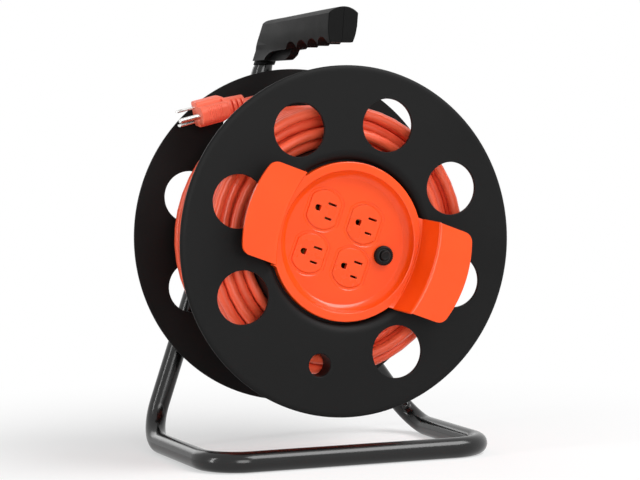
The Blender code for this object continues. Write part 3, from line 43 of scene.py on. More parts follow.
# Pieces are drawn in millimetres on the drum's own axes (x right, y up, z to the front) and placed by these
reel = dict(millimetre=0.001, frontY=-82.35, axleHeight=191.7, panelTurn=-20.4)
toMetres = Matrix.Scale(reel["millimetre"], 4)
drumMiddle = Matrix.Translation((0, reel["frontY"], reel["axleHeight"]))
drumPlace = toMetres @ drumMiddle @ Matrix.Rotation(pi / 2, 4, "X")
panelPlace = drumPlace @ Matrix.Rotation(radians(reel["panelTurn"]), 4, "Z")
print("frame loaded:", len(nodes), "nodes")


# Camera, floor and studio light
studio = {
    "place": (-0.69753, -1.79466, 0.29479), "right": (0.93084, -0.36531, -0.00906),
    "up": (0.02836, 0.04753, 0.99847), "back": (-0.36432, -0.92967, 0.0546), "lens": 122.617,
    "sensor": 36, "fill": 0.2, "aim": (0, 0, 0.2),
    "lamps": {
        # place, width, height, watts
        "topLamp": ((0.99, -1.07, 1.77), 1.6, 1.1, 43),
        "frontLamp": ((-0.3, -2.15, 0.6), 1.0, 1.0, 18),
        "leftLamp": ((-2.1, -0.37, 0.75), 0.16, 1.6, 13),
        "rearLamp": ((-0.6, 2.4, 1.4), 1.2, 1.2, 9),
    },
}
floorLook = {
    "radius": 9, "sides": 64,
    "paint": {"Base Color": (0.95, 0.95, 0.95, 1), "Roughness": 0.9, "Specular IOR Level": 0.1},
    "fade": {"From Min": 0.15, "From Max": 0.6, "To Min": 0.5},
}


def addObject(name, data):
    holder = bpy.data.objects.new(name, data)
    bpy.context.scene.collection.objects.link(holder)
    return holder


def meshOf(bm, name):
    mesh = bpy.data.meshes.new(name)
    bm.to_mesh(mesh)
    bm.free()
    return mesh


def setInputs(node, values):
    for name, value in values.items():
        node.inputs[name].default_value = value


def addNode(tree, kind, **settings):
    node = tree.nodes.new("ShaderNode" + kind)
    for name, value in settings.items():
        setattr(node, name, value)
    return node


def addCamera():
    lens = bpy.data.cameras.new("reelCamera")
    lens.sensor_fit = "HORIZONTAL"
    lens.sensor_width = studio["sensor"]
    lens.lens = studio["lens"]
    camera = addObject("reelCamera", lens)
    axes = Matrix((studio["right"], studio["up"], studio["back"])).transposed().to_4x4()
    camera.matrix_world = Matrix.Translation(studio["place"]) @ axes
    bpy.context.scene.camera = camera


def addLamps():
    for name, (place, width, height, watts) in studio["lamps"].items():
        lamp = bpy.data.lights.new(name, "AREA")
        lamp.shape = "RECTANGLE"
        lamp.size = width
        lamp.size_y = height
        lamp.energy = watts
        holder = addObject(name, lamp)
        holder.location = place
        holder.rotation_euler = (Vector(studio["aim"]) - Vector(place)).to_track_quat("-Z", "Y").to_euler()


def whiteRays(tree):
    # rays that meet the white room: from the camera, or by way of glass or gloss
    path = addNode(tree, "LightPath")
    seen = path.outputs["Is Camera Ray"]
    for kind in ("Is Transmission Ray", "Is Glossy Ray"):
        either = addNode(tree, "Math", operation="MAXIMUM")
        tree.links.new(seen, either.inputs[0])
        tree.links.new(path.outputs[kind], either.inputs[1])
        seen = either.outputs[0]
    return seen


def mixInto(tree, share, first, second, end):
    mix = addNode(tree, "MixShader")
    tree.links.new(share, mix.inputs[0])
    tree.links.new(first.outputs[0], mix.inputs[1])
    tree.links.new(second.outputs[0], mix.inputs[2])
    tree.links.new(mix.outputs[0], tree.nodes[end].inputs["Surface"])


def addWorld():
    world = bpy.data.worlds.new("paleRoom")
    world.use_nodes = True
    tree = world.node_tree
    fill = tree.nodes["Background"]
    white = addNode(tree, "Background")
    for light, strength in ((fill, studio["fill"]), (white, 1)):
        setInputs(light, {"Color": (1, 1, 1, 1), "Strength": strength})
    mixInto(tree, whiteRays(tree), fill, white, "World Output")
    bpy.context.scene.world = world


def addFloor():
    bm = bmesh.new()
    bmesh.ops.create_circle(bm, cap_ends=True, segments=floorLook["sides"], radius=floorLook["radius"])
    floor = addObject("paleFloor", meshOf(bm, "paleFloor"))
    paint = bpy.data.materials.new("paleFloor")
    paint.use_nodes = True
    tree = paint.node_tree
    shader = tree.nodes["Principled BSDF"]
    setInputs(shader, floorLook["paint"])
    glow = addNode(tree, "Emission")  # far floor runs into the white room
    setInputs(glow, {"Strength": 1})
    place = addNode(tree, "TexCoord")
    far = addNode(tree, "VectorMath", operation="LENGTH")
    tree.links.new(place.outputs["Object"], far.inputs[0])
    fade = addNode(tree, "MapRange", interpolation_type="SMOOTHSTEP")
    setInputs(fade, floorLook["fade"])
    tree.links.new(far.outputs["Value"], fade.inputs["Value"])
    seen = addNode(tree, "Math", operation="MULTIPLY")
    tree.links.new(fade.outputs["Result"], seen.inputs[0])
    tree.links.new(whiteRays(tree), seen.inputs[1])
    mixInto(tree, seen.outputs[0], shader, glow, "Material Output")
    floor.data.materials.append(paint)


bpy.context.scene.view_settings.view_transform = "Standard"
addCamera()
addLamps()
addWorld()
addFloor()
print("studio ready")


# Surface effect that all finishes share: two tones in soft patches, fine grain, and gloss that follows the patches
skin = {"patch": {"Detail": 4}, "spread": {"From Min": 0.3, "From Max": 0.7}, "grain": {"Detail": 2}}


def grainGroup():
    group = bpy.data.node_groups.new("mouldedSkin", "ShaderNodeTree")
    for side, kind, names in (
        ("INPUT", "Color", ("Tone", "Second Tone")),
        ("INPUT", "Float", ("Patch Scale", "Grain Scale", "Smoothest", "Roughest")),
        ("OUTPUT", "Color", ("Color",)),
        ("OUTPUT", "Float", ("Roughness", "Height")),
    ):
        for name in names:
            group.interface.new_socket(name, in_out=side, socket_type="NodeSocket" + kind)
    link = group.links.new
    entry = group.nodes.new("NodeGroupInput")
    leave = group.nodes.new("NodeGroupOutput")
    place = addNode(group, "TexCoord")
    patch = addNode(group, "TexNoise")
    setInputs(patch, skin["patch"])
    link(place.outputs["Object"], patch.inputs["Vector"])
    link(entry.outputs["Patch Scale"], patch.inputs["Scale"])
    spread = addNode(group, "MapRange")
    setInputs(spread, skin["spread"])
    link(patch.outputs["Fac"], spread.inputs["Value"])
    tint = addNode(group, "Mix", data_type="RGBA")
    link(spread.outputs["Result"], tint.inputs[0])
    link(entry.outputs["Tone"], tint.inputs[6])  # the colour sockets of a mix
    link(entry.outputs["Second Tone"], tint.inputs[7])
    link(tint.outputs[2], leave.inputs["Color"])
    grain = addNode(group, "TexNoise")
    setInputs(grain, skin["grain"])
    link(place.outputs["Object"], grain.inputs["Vector"])
    link(entry.outputs["Grain Scale"], grain.inputs["Scale"])
    link(grain.outputs["Fac"], leave.inputs["Height"])
    gloss = addNode(group, "MapRange")
    link(spread.outputs["Result"], gloss.inputs["Value"])
    link(entry.outputs["Smoothest"], gloss.inputs["To Min"])
    link(entry.outputs["Roughest"], gloss.inputs["To Max"])
    link(gloss.outputs["Result"], leave.inputs["Roughness"])
    return group


skinGroup = grainGroup()
finishTable = {
    # tone, second tone, smoothest, roughest, patch scale, grain scale, bump, its depth, metal, shine
    "flangeBlack": ((0.005, 0.005, 0.005), (0.006, 0.006, 0.006), 0.46, 0.56, 14, 1500, 0.15, 0.0002, 0, 0.12),
    "gripBlack": ((0.005, 0.005, 0.005), (0.0065, 0.0065, 0.0065), 0.46, 0.56, 30, 1800, 0.2, 0.0002, 0, 0.05),
    "tubeEnamel": ((0.003, 0.003, 0.003), (0.004, 0.004, 0.004), 0.17, 0.22, 40, 220, 0.03, 0.0002, 0, 0.42),
    "panelOrange": ((0.79, 0.062, 0.003), (0.82, 0.07, 0.004), 0.2, 0.26, 22, 1600, 0.08, 0.0001, 0, 0.4),
    "outletOrange": ((0.78, 0.066, 0.006), (0.81, 0.074, 0.008), 0.26, 0.32, 60, 1600, 0.08, 0.0001, 0, 0.36),
    "cordCoral": ((0.94, 0.115, 0.048), (0.97, 0.13, 0.058), 0.26, 0.34, 35, 700, 0.08, 0.0002, 0, 0.4),
    "plugCoral": ((0.92, 0.155, 0.085), (0.95, 0.175, 0.1), 0.38, 0.5, 90, 1200, 0.1, 0.0002, 0, 0.3),
    "nickelBlade": ((0.72, 0.71, 0.69), (0.8, 0.79, 0.77), 0.16, 0.28, 160, 2500, 0.05, 0.0001, 1, 0.5),
    "zincScrew": ((0.55, 0.55, 0.54), (0.66, 0.66, 0.64), 0.25, 0.4, 200, 1500, 0.08, 0.0001, 1, 0.5),
    "resetBlack": ((0.006, 0.006, 0.006), (0.008, 0.008, 0.008), 0.4, 0.5, 120, 1500, 0.12, 0.0002, 0, 0.12),
    "boxBlack": ((0.018, 0.018, 0.018), (0.024, 0.024, 0.024), 0.5, 0.62, 30, 1200, 0.15, 0.0002, 0, 0.5),
    "bushNylon": ((0.68, 0.67, 0.62), (0.74, 0.73, 0.69), 0.45, 0.58, 80, 1200, 0.1, 0.0002, 0, 0.5),
    "stripBrass": ((0.7, 0.48, 0.18), (0.78, 0.56, 0.24), 0.24, 0.4, 120, 1500, 0.08, 0.0001, 1, 0.5),
    "leadWhite": ((0.74, 0.74, 0.72), (0.8, 0.8, 0.78), 0.45, 0.55, 120, 1200, 0.1, 0.0002, 0, 0.5),
    "leadBlack": ((0.016, 0.016, 0.016), (0.024, 0.024, 0.024), 0.42, 0.55, 120, 1200, 0.1, 0.0002, 0, 0.5),
    "leadGreen": ((0.02, 0.25, 0.05), (0.03, 0.3, 0.07), 0.45, 0.55, 120, 1200, 0.1, 0.0002, 0, 0.5),
}


def finishOf(name, tone, second, smoothest, roughest, patch, grain, bump, depth, metal, shine):
    paint = bpy.data.materials.new(name)
    paint.use_nodes = True
    tree = paint.node_tree
    shader = tree.nodes["Principled BSDF"]
    surface = addNode(tree, "Group", node_tree=skinGroup)
    setInputs(surface, {"Tone": (*tone, 1), "Second Tone": (*second, 1), "Patch Scale": patch, "Grain Scale": grain})
    setInputs(surface, {"Smoothest": smoothest, "Roughest": roughest})
    tree.links.new(surface.outputs["Color"], shader.inputs["Base Color"])
    tree.links.new(surface.outputs["Roughness"], shader.inputs["Roughness"])
    relief = addNode(tree, "Bump")
    setInputs(relief, {"Strength": bump, "Distance": depth})
    tree.links.new(surface.outputs["Height"], relief.inputs["Height"])
    tree.links.new(relief.outputs["Normal"], shader.inputs["Normal"])
    setInputs(shader, {"Metallic": metal, "Specular IOR Level": shine})
    return paint


finish = {name: finishOf(name, *row) for name, row in finishTable.items()}
print("finishes ready:", len(finish))


# Drawing helpers
mergeDistance = 1e-3
levelSlack = 1e-4


def clock(radius, turn):
    angle = radians(turn)  # clockwise from the top, seen from the front
    return (radius * sin(angle), radius * cos(angle))


def arc(x, y, radius, start, end, steps, squash=1.0):
    angles = [radians(start + (end - start) * k / steps) for k in range(steps + 1)]
    return [(x + radius * cos(a), y + squash * radius * sin(a)) for a in angles]


def turnCorner(before, corner, after, radius, steps):
    back = (before - corner).normalized()
    ahead = (after - corner).normalized()
    half = back.angle(ahead) / 2
    middle = corner + (back + ahead).normalized() * radius / sin(half)
    start = corner + back * radius / tan(half) - middle
    end = corner + ahead * radius / tan(half) - middle
    sweep = start.angle(end)
    made = []
    for k in range(steps + 1):
        share = k / steps
        mixed = start * sin((1 - share) * sweep) + end * sin(share * sweep)
        made.append(middle + mixed / sin(sweep))
    return made


def softened(corners, closed=False, steps=4):
    # corners are (across, up, radius of the corner)
    count = len(corners)
    points = []
    for k, (x, y, radius) in enumerate(corners):
        if radius <= 0 or (not closed and k in (0, count - 1)):
            points.append((x, y))
            continue
        before = Vector(corners[k - 1][:2])
        after = Vector(corners[(k + 1) % count][:2])
        points += [tuple(p) for p in turnCorner(before, Vector((x, y)), after, radius, steps)]
    return points


def bentRun(corners, steps=20):
    # corners are (place, bend radius), the first and last without a bend
    points = [Vector(corners[0][0])]
    for (before, _), (corner, radius), (after, _) in zip(corners, corners[1:], corners[2:]):
        points += turnCorner(Vector(before), Vector(corner), Vector(after), radius, steps)
    points.append(Vector(corners[-1][0]))
    return points


def chain(bm, points, closed=False):
    verts = [bm.verts.new(p) for p in points]
    edges = [bm.edges.new(pair) for pair in zip(verts, verts[1:])]
    if closed:
        edges.append(bm.edges.new((verts[-1], verts[0])))
    return verts, edges


def spun(bm, profile, steps, centre=(0, 0), closed=False):
    # a (radius, height) profile turned about an upright line
    cx, cy = centre
    verts, edges = chain(bm, [(cx + r, cy, z) for r, z in profile], closed)
    bmesh.ops.spin(
        bm, geom=verts + edges, cent=(cx, cy, 0), axis=(0, 0, 1), angle=tau, steps=steps, use_merge=True
    )


def lathe(profile, steps, centre=(0, 0), closed=False):
    bm = bmesh.new()
    spun(bm, profile, steps, centre, closed)
    return bm


def lifted(outline, height):
    return [(x, y, height) for x, y in outline]


def loft(bm, rows, closed=False):
    chains = [chain(bm, row, closed)[1] for row in rows]
    for near, far in zip(chains, chains[1:]):
        bmesh.ops.bridge_loops(bm, edges=near + far)


def cap(bm, *heights):
    for height in heights:
        rim = [e for e in bm.edges if e.is_boundary and all(abs(v.co.z - height) < levelSlack for v in e.verts)]
        bmesh.ops.triangle_fill(bm, use_beauty=True, use_dissolve=False, edges=rim)


def clean(bm):
    bmesh.ops.remove_doubles(bm, verts=bm.verts, dist=mergeDistance)
    bmesh.ops.recalc_face_normals(bm, faces=bm.faces)


def rotateForm(bm, angle, axis):
    bmesh.ops.rotate(bm, cent=(0, 0, 0), matrix=Matrix.Rotation(angle, 3, axis), verts=bm.verts)


def stackOf(rows):
    # a closed form through (outline, height) rows
    bm = bmesh.new()
    loft(bm, [lifted(outline, height) for outline, height in rows], True)
    cap(bm, rows[0][1], rows[-1][1])
    return bm


def plateOf(outline, low, high):
    bm = bmesh.new()
    edges = chain(bm, lifted(outline, low), True)[1]
    face = bmesh.ops.contextual_create(bm, geom=edges)["faces"]
    grown = bmesh.ops.extrude_face_region(bm, geom=face, use_keep_orig=True)["geom"]
    bmesh.ops.translate(bm, vec=(0, 0, high - low), verts=[v for v in grown if isinstance(v, bmesh.types.BMVert)])
    clean(bm)
    return bm


def boxOf(low, high):
    bm = bmesh.new()
    low, high = Vector(low), Vector(high)
    bmesh.ops.create_cube(bm, size=1, matrix=Matrix.LocRotScale((high + low) / 2, None, high - low))
    return bm


def postOf(radius, depth, middle, sides, tip=None):
    bm = bmesh.new()
    place = Matrix.Translation(middle)
    bmesh.ops.create_cone(
        bm, cap_ends=True, segments=sides, radius1=radius, radius2=tip or radius, depth=depth, matrix=place
    )
    return bm


def roundEdges(bm, width, segments, above=50, where=None):
    picked = [e for e in bm.edges if e.is_manifold and e.calc_face_angle(0) > radians(above)]
    if where:
        picked = [e for e in picked if where(e)]
    bmesh.ops.bevel(
        bm, geom=picked, offset=width, segments=segments, profile=0.5, affect="EDGES", clamp_overlap=True, material=-1
    )


def joinInto(bm, other):
    mesh = meshOf(other, "joinedForm")
    bm.from_mesh(mesh)
    bpy.data.meshes.remove(mesh)


def carved(bm, tools, operation="DIFFERENCE"):
    # cuts the tools out of a form, or joins them to it
    def temporary(form, name):
        clean(form)
        return addObject(name, meshOf(form, name))

    for tool in tools:
        body = temporary(bm, "carvedForm")
        blade = temporary(tool, "carvingTool")
        step = body.modifiers.new("carve", "BOOLEAN")
        step.object = blade
        step.operation = operation
        step.solver = "EXACT"
        graph = bpy.context.evaluated_depsgraph_get()
        bm = bmesh.new()
        bm.from_mesh(body.evaluated_get(graph).to_mesh())
        for holder in (body, blade):
            mesh = holder.data
            bpy.data.objects.remove(holder, do_unlink=True)
            bpy.data.meshes.remove(mesh)
    return bm


def toPiece(bm, name, finishName, body, hides, place=drumPlace, crease=42):
    clean(bm)
    bmesh.ops.transform(bm, matrix=place, verts=bm.verts)
    for face in bm.faces:
        face.smooth = True
    for edge in bm.edges:
        edge.smooth = edge.calc_face_angle(0) < radians(crease)
    piece = addObject(name, meshOf(bm, name))
    piece.data.materials.append(finish[finishName])
    even = piece.modifiers.new("evenShading", "WEIGHTED_NORMAL")
    even.keep_sharp = True
    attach(piece, body)
    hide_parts(*hides)
    return piece


def lineOf(name, points, radius, roundness):
    line = bpy.data.curves.new(name, "CURVE")
    line.dimensions = "3D"
    line.bevel_depth = radius
    line.bevel_resolution = roundness
    line.use_fill_caps = True
    run = line.splines.new("POLY")
    run.points.add(len(points) - 1)
    for point, place in zip(run.points, points):
        point.co = (*place, 1)
    return line, run


def roundBar(points, radius, sides=40, shares=()):
    # a bar of round section along points, with flat ends; shares narrow its first points
    line, run = lineOf("barLine", points, radius, sides // 2 - 2)
    for point, share in zip(run.points, shares):
        point.radius = share
    holder = addObject("barLine", line)
    graph = bpy.context.evaluated_depsgraph_get()
    bm = bmesh.new()
    bm.from_mesh(holder.evaluated_get(graph).to_mesh())
    bpy.data.objects.remove(holder, do_unlink=True)
    bpy.data.curves.remove(line)
    return bm


# Cord: four layers of ten turns on the barrel, then the tail up to the plug
cord = dict(
    radius=4.5, roundness=4, layers=(84.9, 94.1, 103.3, 112.5), turns=10,
    points=48,  # to a turn
    front=-24.5, rear=-126,
    climb=0.18,  # turns in which it climbs to the next layer
    stepFrom=0.2,  # most of each step sideways falls in mid turn
    stepSpan=0.6, wander=0.5, waves=3, waveShift=70, settle=200, tailAngle=80,
    tailPoints=27, tailFrom=0.35, tailSpan=0.45, straight=13.5, inPlug=4,
    end=(-53.5, 119.2, -113.5), droop=13.5, exit=(80, 0, -114.5), length=25.0,
)


def ease(share):
    share = min(1.0, max(0.0, share))
    return share * share * (3 - 2 * share)


def plugHeading():
    droop = radians(cord["droop"])
    return Vector((-cos(droop), -sin(droop), 0))


def woundPart():
    radii = cord["layers"]
    turns = cord["turns"]
    climb = cord["climb"]
    route = []
    for k in range(len(radii) * turns * cord["points"] + 1):
        travel = k / cord["points"]  # in turns
        layer = min(int(travel / turns), len(radii) - 1)
        share = travel / turns - layer
        radius = radii[layer]
        if layer + 1 < len(radii) and share > 1 - climb / turns:
            radius += (radii[layer + 1] - radius) * ease((share - 1) * turns / climb + 1)
        start, stop = (cord["rear"], cord["front"]) if layer % 2 == 0 else (cord["front"], cord["rear"])
        turn = share * turns
        whole = int(turn)
        step = whole + ease((turn - whole - cord["stepFrom"]) / cord["stepSpan"])
        depth = start + (stop - start) * step / turns
        angle = cord["tailAngle"] - 360 * travel
        sway = cord["wander"] * sin(radians(cord["waves"] * angle + cord["waveShift"] * layer))
        route.append((*clock(radius, angle), depth + sway * min(1, k / cord["settle"])))
    return route


def cordRoute():
    route = woundPart()
    end = Vector(cord["end"])
    straight = end - plugHeading() * cord["straight"]
    high = straight.xy.length
    first = cord["tailAngle"]
    final = degrees(atan2(straight.x, straight.y))
    outer = cord["layers"][-1]
    last = route[-1][2]
    for k in range(1, cord["tailPoints"]):
        share = k / cord["tailPoints"]
        radius = outer + (high - outer) * ease(share)
        depth = last + (end.z - last) * ease((share - cord["tailFrom"]) / cord["tailSpan"])
        route.append((*clock(radius, first + (final - first) * share), depth))
    route += [tuple(straight), tuple(end), tuple(end + plugHeading() * cord["inPlug"])]
    return [drumPlace @ Vector(p) for p in route]


def makeCord():
    route = cordRoute()
    line, run = lineOf("woundCord", route, cord["radius"] * reel["millimetre"], cord["roundness"])
    line.twist_mode = "MINIMUM"
    run.use_smooth = True
    line.materials.append(finish["cordCoral"])
    piece = addObject("woundCord", line)
    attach(piece, "drum")
    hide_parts("cord_core", "cord_outer_layer")
    print("cord route:", round(sum((b - a).length for a, b in zip(route, route[1:])), 3), "m")
    return piece


woundCord = makeCord()


# Flanges and the barrel between them
flange = dict(
    radius=150, thick=3.5, edge=0.5, rimWidth=5, rimDrop=2, rimSteps=224,
    width=133.5, holes=8, holeRadius=22.8, holeCircle=105.2, holeSteps=80,
    firstHole=-24.6, fingerPlace=5, fingerAngle=194.8, fingerCircle=107.4,
    fingerRadius=9.8, fingerDepth=18.5, fingerWall=2.2, fingerLip=1, opening=70,
    shoulder=9, ledge=62, seatDepth=12, seatSteps=192, spigot=76.2, ringBore=68.5,
    ringHigh=8.5, ringSteps=128, hub=15, hubFlare=2, hubBore=10.7, hubFront=-68,
    hubRear=-159, hubSteps=64, ribs=8, ribInner=13, ribOuter=66, ribDeep=13, ribThick=3,
)
barrel = dict(radius=80, bore=76.5, edge=0.5, front=-3.8, rearGap=0.3, steps=128)


def flangeHoles(bm, places, front, back):
    radius = flange["holeRadius"]
    edge = flange["edge"]
    wall = arc(radius + edge, front - edge, edge, 90, 180, 4) + arc(radius + edge, back + edge, edge, 180, 270, 4)
    for k in places:
        centre = clock(flange["holeCircle"], flange["firstHole"] + 360 / flange["holes"] * k)
        spun(bm, wall, flange["holeSteps"], centre)


def makeFrontFlange():
    form = flange
    bm = bmesh.new()
    edge = form["edge"]
    back = -form["thick"]
    squash = form["rimDrop"] / form["rimWidth"]
    rim = arc(form["radius"] - form["rimWidth"], -form["rimDrop"], form["rimWidth"], 90, 0, 8, squash)
    rim += arc(form["radius"] - edge, back + edge, edge, 0, -90, 3)
    spun(bm, rim, form["rimSteps"])
    flangeHoles(bm, [k for k in range(form["holes"]) if k != form["fingerPlace"]], 0, back)
    inner = form["fingerRadius"]
    outer = inner + form["fingerWall"]
    lip = form["fingerLip"]
    deep = edge - form["fingerDepth"]
    wall = arc(inner + lip, -lip, lip, 90, 180, 4)
    wall += arc(inner + edge, deep, edge, 180, 270, 3) + arc(outer - edge, deep, edge, 270, 360, 3)
    wall.append((outer, back))
    spun(bm, wall, form["hubSteps"], clock(form["fingerCircle"], form["fingerAngle"]))
    shoulder = form["shoulder"]
    seat = arc(form["opening"] + shoulder, -shoulder, shoulder, 90, 180, 12)
    ledge, outer, deep = form["ledge"], form["spigot"], -form["seatDepth"]
    step = [(form["opening"], -shoulder, 0), (ledge, -shoulder, edge), (ledge, deep, edge)]
    seat += softened(step + [(outer, deep, edge), (outer, back, 0)])[1:]
    spun(bm, seat, form["seatSteps"])
    cap(bm, 0, back)
    toPiece(bm, "frontFlangePlate", "flangeBlack", "drum", ["front_flange"])


def ribOf(back, angle):
    form = flange
    inner = form["ribInner"]
    outer = form["ribOuter"]
    root = back + 1.5
    deep = back - form["ribDeep"]
    corners = [(inner, root, 0), (outer, root, 0), (outer, back - 1, 0.8), (inner + 3, deep, 2), (inner, deep, 0)]
    rib = plateOf(softened(corners, True), -form["ribThick"] / 2, form["ribThick"] / 2)
    rotateForm(rib, pi / 2, "X")
    roundEdges(rib, form["edge"], 2, 60, lambda e: max(v.co.z for v in e.verts) < back - form["edge"])
    rotateForm(rib, angle, "Z")
    return rib


def makeRearFlange():
    form = flange
    bm = bmesh.new()
    edge = form["edge"]
    front = -form["width"]
    back = front - form["thick"]
    squash = form["rimDrop"] / form["rimWidth"]
    rim = arc(form["radius"] - edge, front - edge, edge, 90, 0, 3)
    rim += arc(form["radius"] - form["rimWidth"], back + form["rimDrop"], form["rimWidth"], 0, -90, 8, squash)
    spun(bm, rim, form["rimSteps"])
    flangeHoles(bm, range(form["holes"]), front, back)
    outer, inner, high = form["spigot"], form["ringBore"], front + form["ringHigh"]
    ring = [(outer, front, 0), (outer, high, edge), (inner, high, edge), (inner, front, 0)]
    spun(bm, softened(ring), form["ringSteps"])
    hub, bore, high, low = form["hub"], form["hubBore"], form["hubFront"], form["hubRear"]
    wide = hub + form["hubFlare"]
    profile = [(wide, front, 0), (hub, front, 1.5), (hub, high, 0.6), (bore, high, 0.4)]
    profile += [(bore, low, 0.4), (hub, low, 0.8), (hub, back, 2), (wide + 0.5, back, 0)]
    spun(bm, softened(profile), form["hubSteps"])
    cap(bm, front, back)
    for k in range(form["ribs"]):
        joinInto(bm, ribOf(back, tau * k / form["ribs"]))
    toPiece(bm, "rearFlangePlate", "flangeBlack", "drum", ["rear_flange"])


def makeBarrel():
    form = barrel
    rear = form["rearGap"] - flange["width"]
    inner, outer, front, edge = form["bore"], form["radius"], form["front"], form["edge"]
    wall = [(inner, front, edge), (outer, front, edge), (outer, rear, edge), (inner, rear, edge)]
    bm = lathe(softened(wall, True), form["steps"], closed=True)
    toPiece(bm, "barrelWall", "flangeBlack", "drum", ["drum_barrel"])


makeFrontFlange()
makeRearFlange()
makeBarrel()
print("drum flanges made")


# Socket panel with its wings, outlets and reset button
panel = dict(
    rim=68.3, sink=1.4, depth=10, wall=2.5, steps=192, floorRadius=53.5,
    floorEdge=54.2, wallTop=60.8, wallBend=13.3, wallStart=28, wallEnd=76,
    lip=8.7, lipBore=62.3, heel=57.5, heelHigh=1.6, wingHeight=24, wingHalf=40.5,
    wingReach=104, wingRows=36, crease=70.5, creaseRound=126, wingCorner=9,
    wingThick=2.4, wingEdge=0.7, wingLean=5.6,
    wingFoot=((-0.7, -0.3), (-0.2, 0), (0, 0.7)),  # the small round where the wall leaves the rim
    footGap=1.2, rootDeep=0.6, fold=2.8,
)
outlet = dict(
    shift=-7.4, pitch=39.2, radius=17.05, flat=14.3, proud=0.3, behind=1.8,
    edge=((-0.85, 0), (-0.72, 0.04), (-0.1, 0.6), (0, 0.75)),  # inset, below the face
    room=0.12, moatWide=4, moatNarrow=1.9, sunk=0.5, bladeSpacing=12.7,
    groundOffset=11.9, slot=1.9, slotRound=0.3, longSlot=7.9, shortSlot=6.4,
    ground=2.6, groundRound=0.5, flare=0.7, flareHigh=0.4, flareLow=0.3,
)
breaker = dict(
    along=37.5, neck=5.6, neckRoom=0.3, collar=8.5, collarHigh=4.6, collarLift=0.1, knurls=30,
    knurl=((0, 0), (0.3, 0), (0.45, 0.4), (0.85, 0.4)),  # share of the pitch, depth
    crown=0.95,
    # radius, below the top, rounding
    face=(
        (7.4, 0.35, 0), (7.1, 0, 0.2), (6.2, 0, 0.2), (5.9, 0.7, 0.2),
        (5.2, 0.7, 0.2), (4.95, 0.1, 0.15), (4.7, 0.1, 0.15),
    ),
    bore=4.6, button=((0, 0.5, 0), (2.4, 0.35, 0.6), (3.2, 0, 0.5), (4.2, 0.2, 0.7)),
    buttonRadius=4.2, proud=2, stem=13, steps=48,
)
outletPlaces = [
    (outlet["shift"] + su * outlet["pitch"] / 2, sv * outlet["pitch"] / 2) for sv in (1, -1) for su in (-1, 1)
]


def outletOutline(extra, centre=(0, 0), steps=20):
    radius = outlet["radius"] + extra
    turn = degrees(acos((outlet["flat"] + extra) / radius))
    return arc(*centre, radius, turn, 180 - turn, steps) + arc(*centre, radius, 180 + turn, 360 - turn, steps)


def wingRow(v, outer):
    # one line across the wing, from its root at the rim to its outer edge
    form = panel
    crease = form["crease"] - form["creaseRound"] + sqrt(form["creaseRound"] ** 2 - v * v)
    foot = crease - form["wingLean"]
    root = min(sqrt((form["rim"] - form["wingThick"]) ** 2 - v * v), foot - form["footGap"])
    top = form["wingHeight"]
    flat = crease + form["fold"]
    line = [(root, -form["sink"] - form["rootDeep"])] + [(foot + across, up) for across, up in form["wingFoot"]]
    line += arc(flat, top - form["fold"], form["fold"], 180, 90, 5)
    line += [(flat + (outer - flat) * share, top) for share in (0.5, 1)]
    return [(u, v, z) for u, z in line]


def wingOf(angle):
    form = panel
    reach = form["wingReach"]
    corner = form["wingCorner"]
    tip = form["wingHalf"] - corner
    cornerU = sqrt((reach - corner) ** 2 - tip * tip)
    rows = []
    for k in range(form["wingRows"] + 1):
        v = form["wingHalf"] * sin(pi * (k / form["wingRows"] - 0.5))
        outer = sqrt(reach**2 - v * v)
        if abs(v) * (reach - corner) > tip * reach:
            outer = cornerU + sqrt(max(0.0, corner**2 - (abs(v) - tip) ** 2))
        rows.append(wingRow(v, outer))
    sheet = bmesh.new()
    loft(sheet, rows)
    clean(sheet)
    highest = max(sheet.faces, key=lambda f: f.calc_center_median().z)
    if highest.normal.z < 0:
        bmesh.ops.reverse_faces(sheet, faces=sheet.faces)
    bmesh.ops.solidify(sheet, geom=list(sheet.faces), thickness=form["wingThick"])
    clean(sheet)
    roundEdges(sheet, form["wingEdge"], 3, 60, lambda e: min(v.co.z for v in e.verts) > 0)
    rotateForm(sheet, angle, "Z")
    return sheet


def makePanel():
    form = panel
    floor = -form["depth"]
    back = floor - form["wall"]
    top = -form["sink"]
    edge = form["floorEdge"]
    bend = form["wallBend"]
    turn = radians(form["wallStart"])
    middle = (edge - bend * sin(turn), floor + bend * cos(turn))
    wall = arc(*middle, bend, form["wallStart"] - 90, form["wallEnd"] - 90, 12)
    bowl = [
        (0, floor, 0),
        (edge, floor, 0.25),
        *((x, z, 0) for x, z in wall[1:-1]),
        (form["wallTop"], top, 1),
        (form["rim"], top, 1.2),
        (form["rim"], -form["lip"], 0.4),
        (form["lipBore"], -form["lip"], 0.4),
        (form["heel"], back + form["heelHigh"], 1),
        (form["floorRadius"], back, 1),
        (0, back, 0),
    ]
    bm = lathe(softened(bowl, steps=8), form["steps"])
    above, below = floor + 1, back - 1  # tools pass the faces that they cut
    moat = ((outlet["moatWide"], above), (outlet["moatNarrow"], floor - outlet["sunk"]))
    window = ((outlet["room"], above), (outlet["room"], below))
    tools = []
    for centre in outletPlaces:
        for rows in (moat, window):
            tools.append(stackOf([(outletOutline(extra, centre), z) for extra, z in rows]))
    bore = breaker["neck"] + breaker["neckRoom"]
    hole = [(0, above), (bore, above), (bore, below), (0, below)]
    bm = carved(bm, tools + [lathe(hole, breaker["steps"], (breaker["along"], 0))])
    for angle in (0, pi):
        joinInto(bm, wingOf(angle))
    toPiece(bm, "socketPanel", "panelOrange", "drum", ["socket_dish"], panelPlace, 32)


def slotOutline(u, v, length, grown):
    long = length + 2 * grown
    wide = outlet["slot"] + 2 * grown
    corners = ((-1, -1), (1, -1), (1, 1), (-1, 1))
    return softened([(u + a * long / 2, v + b * wide / 2, outlet["slotRound"]) for a, b in corners], True, 2)


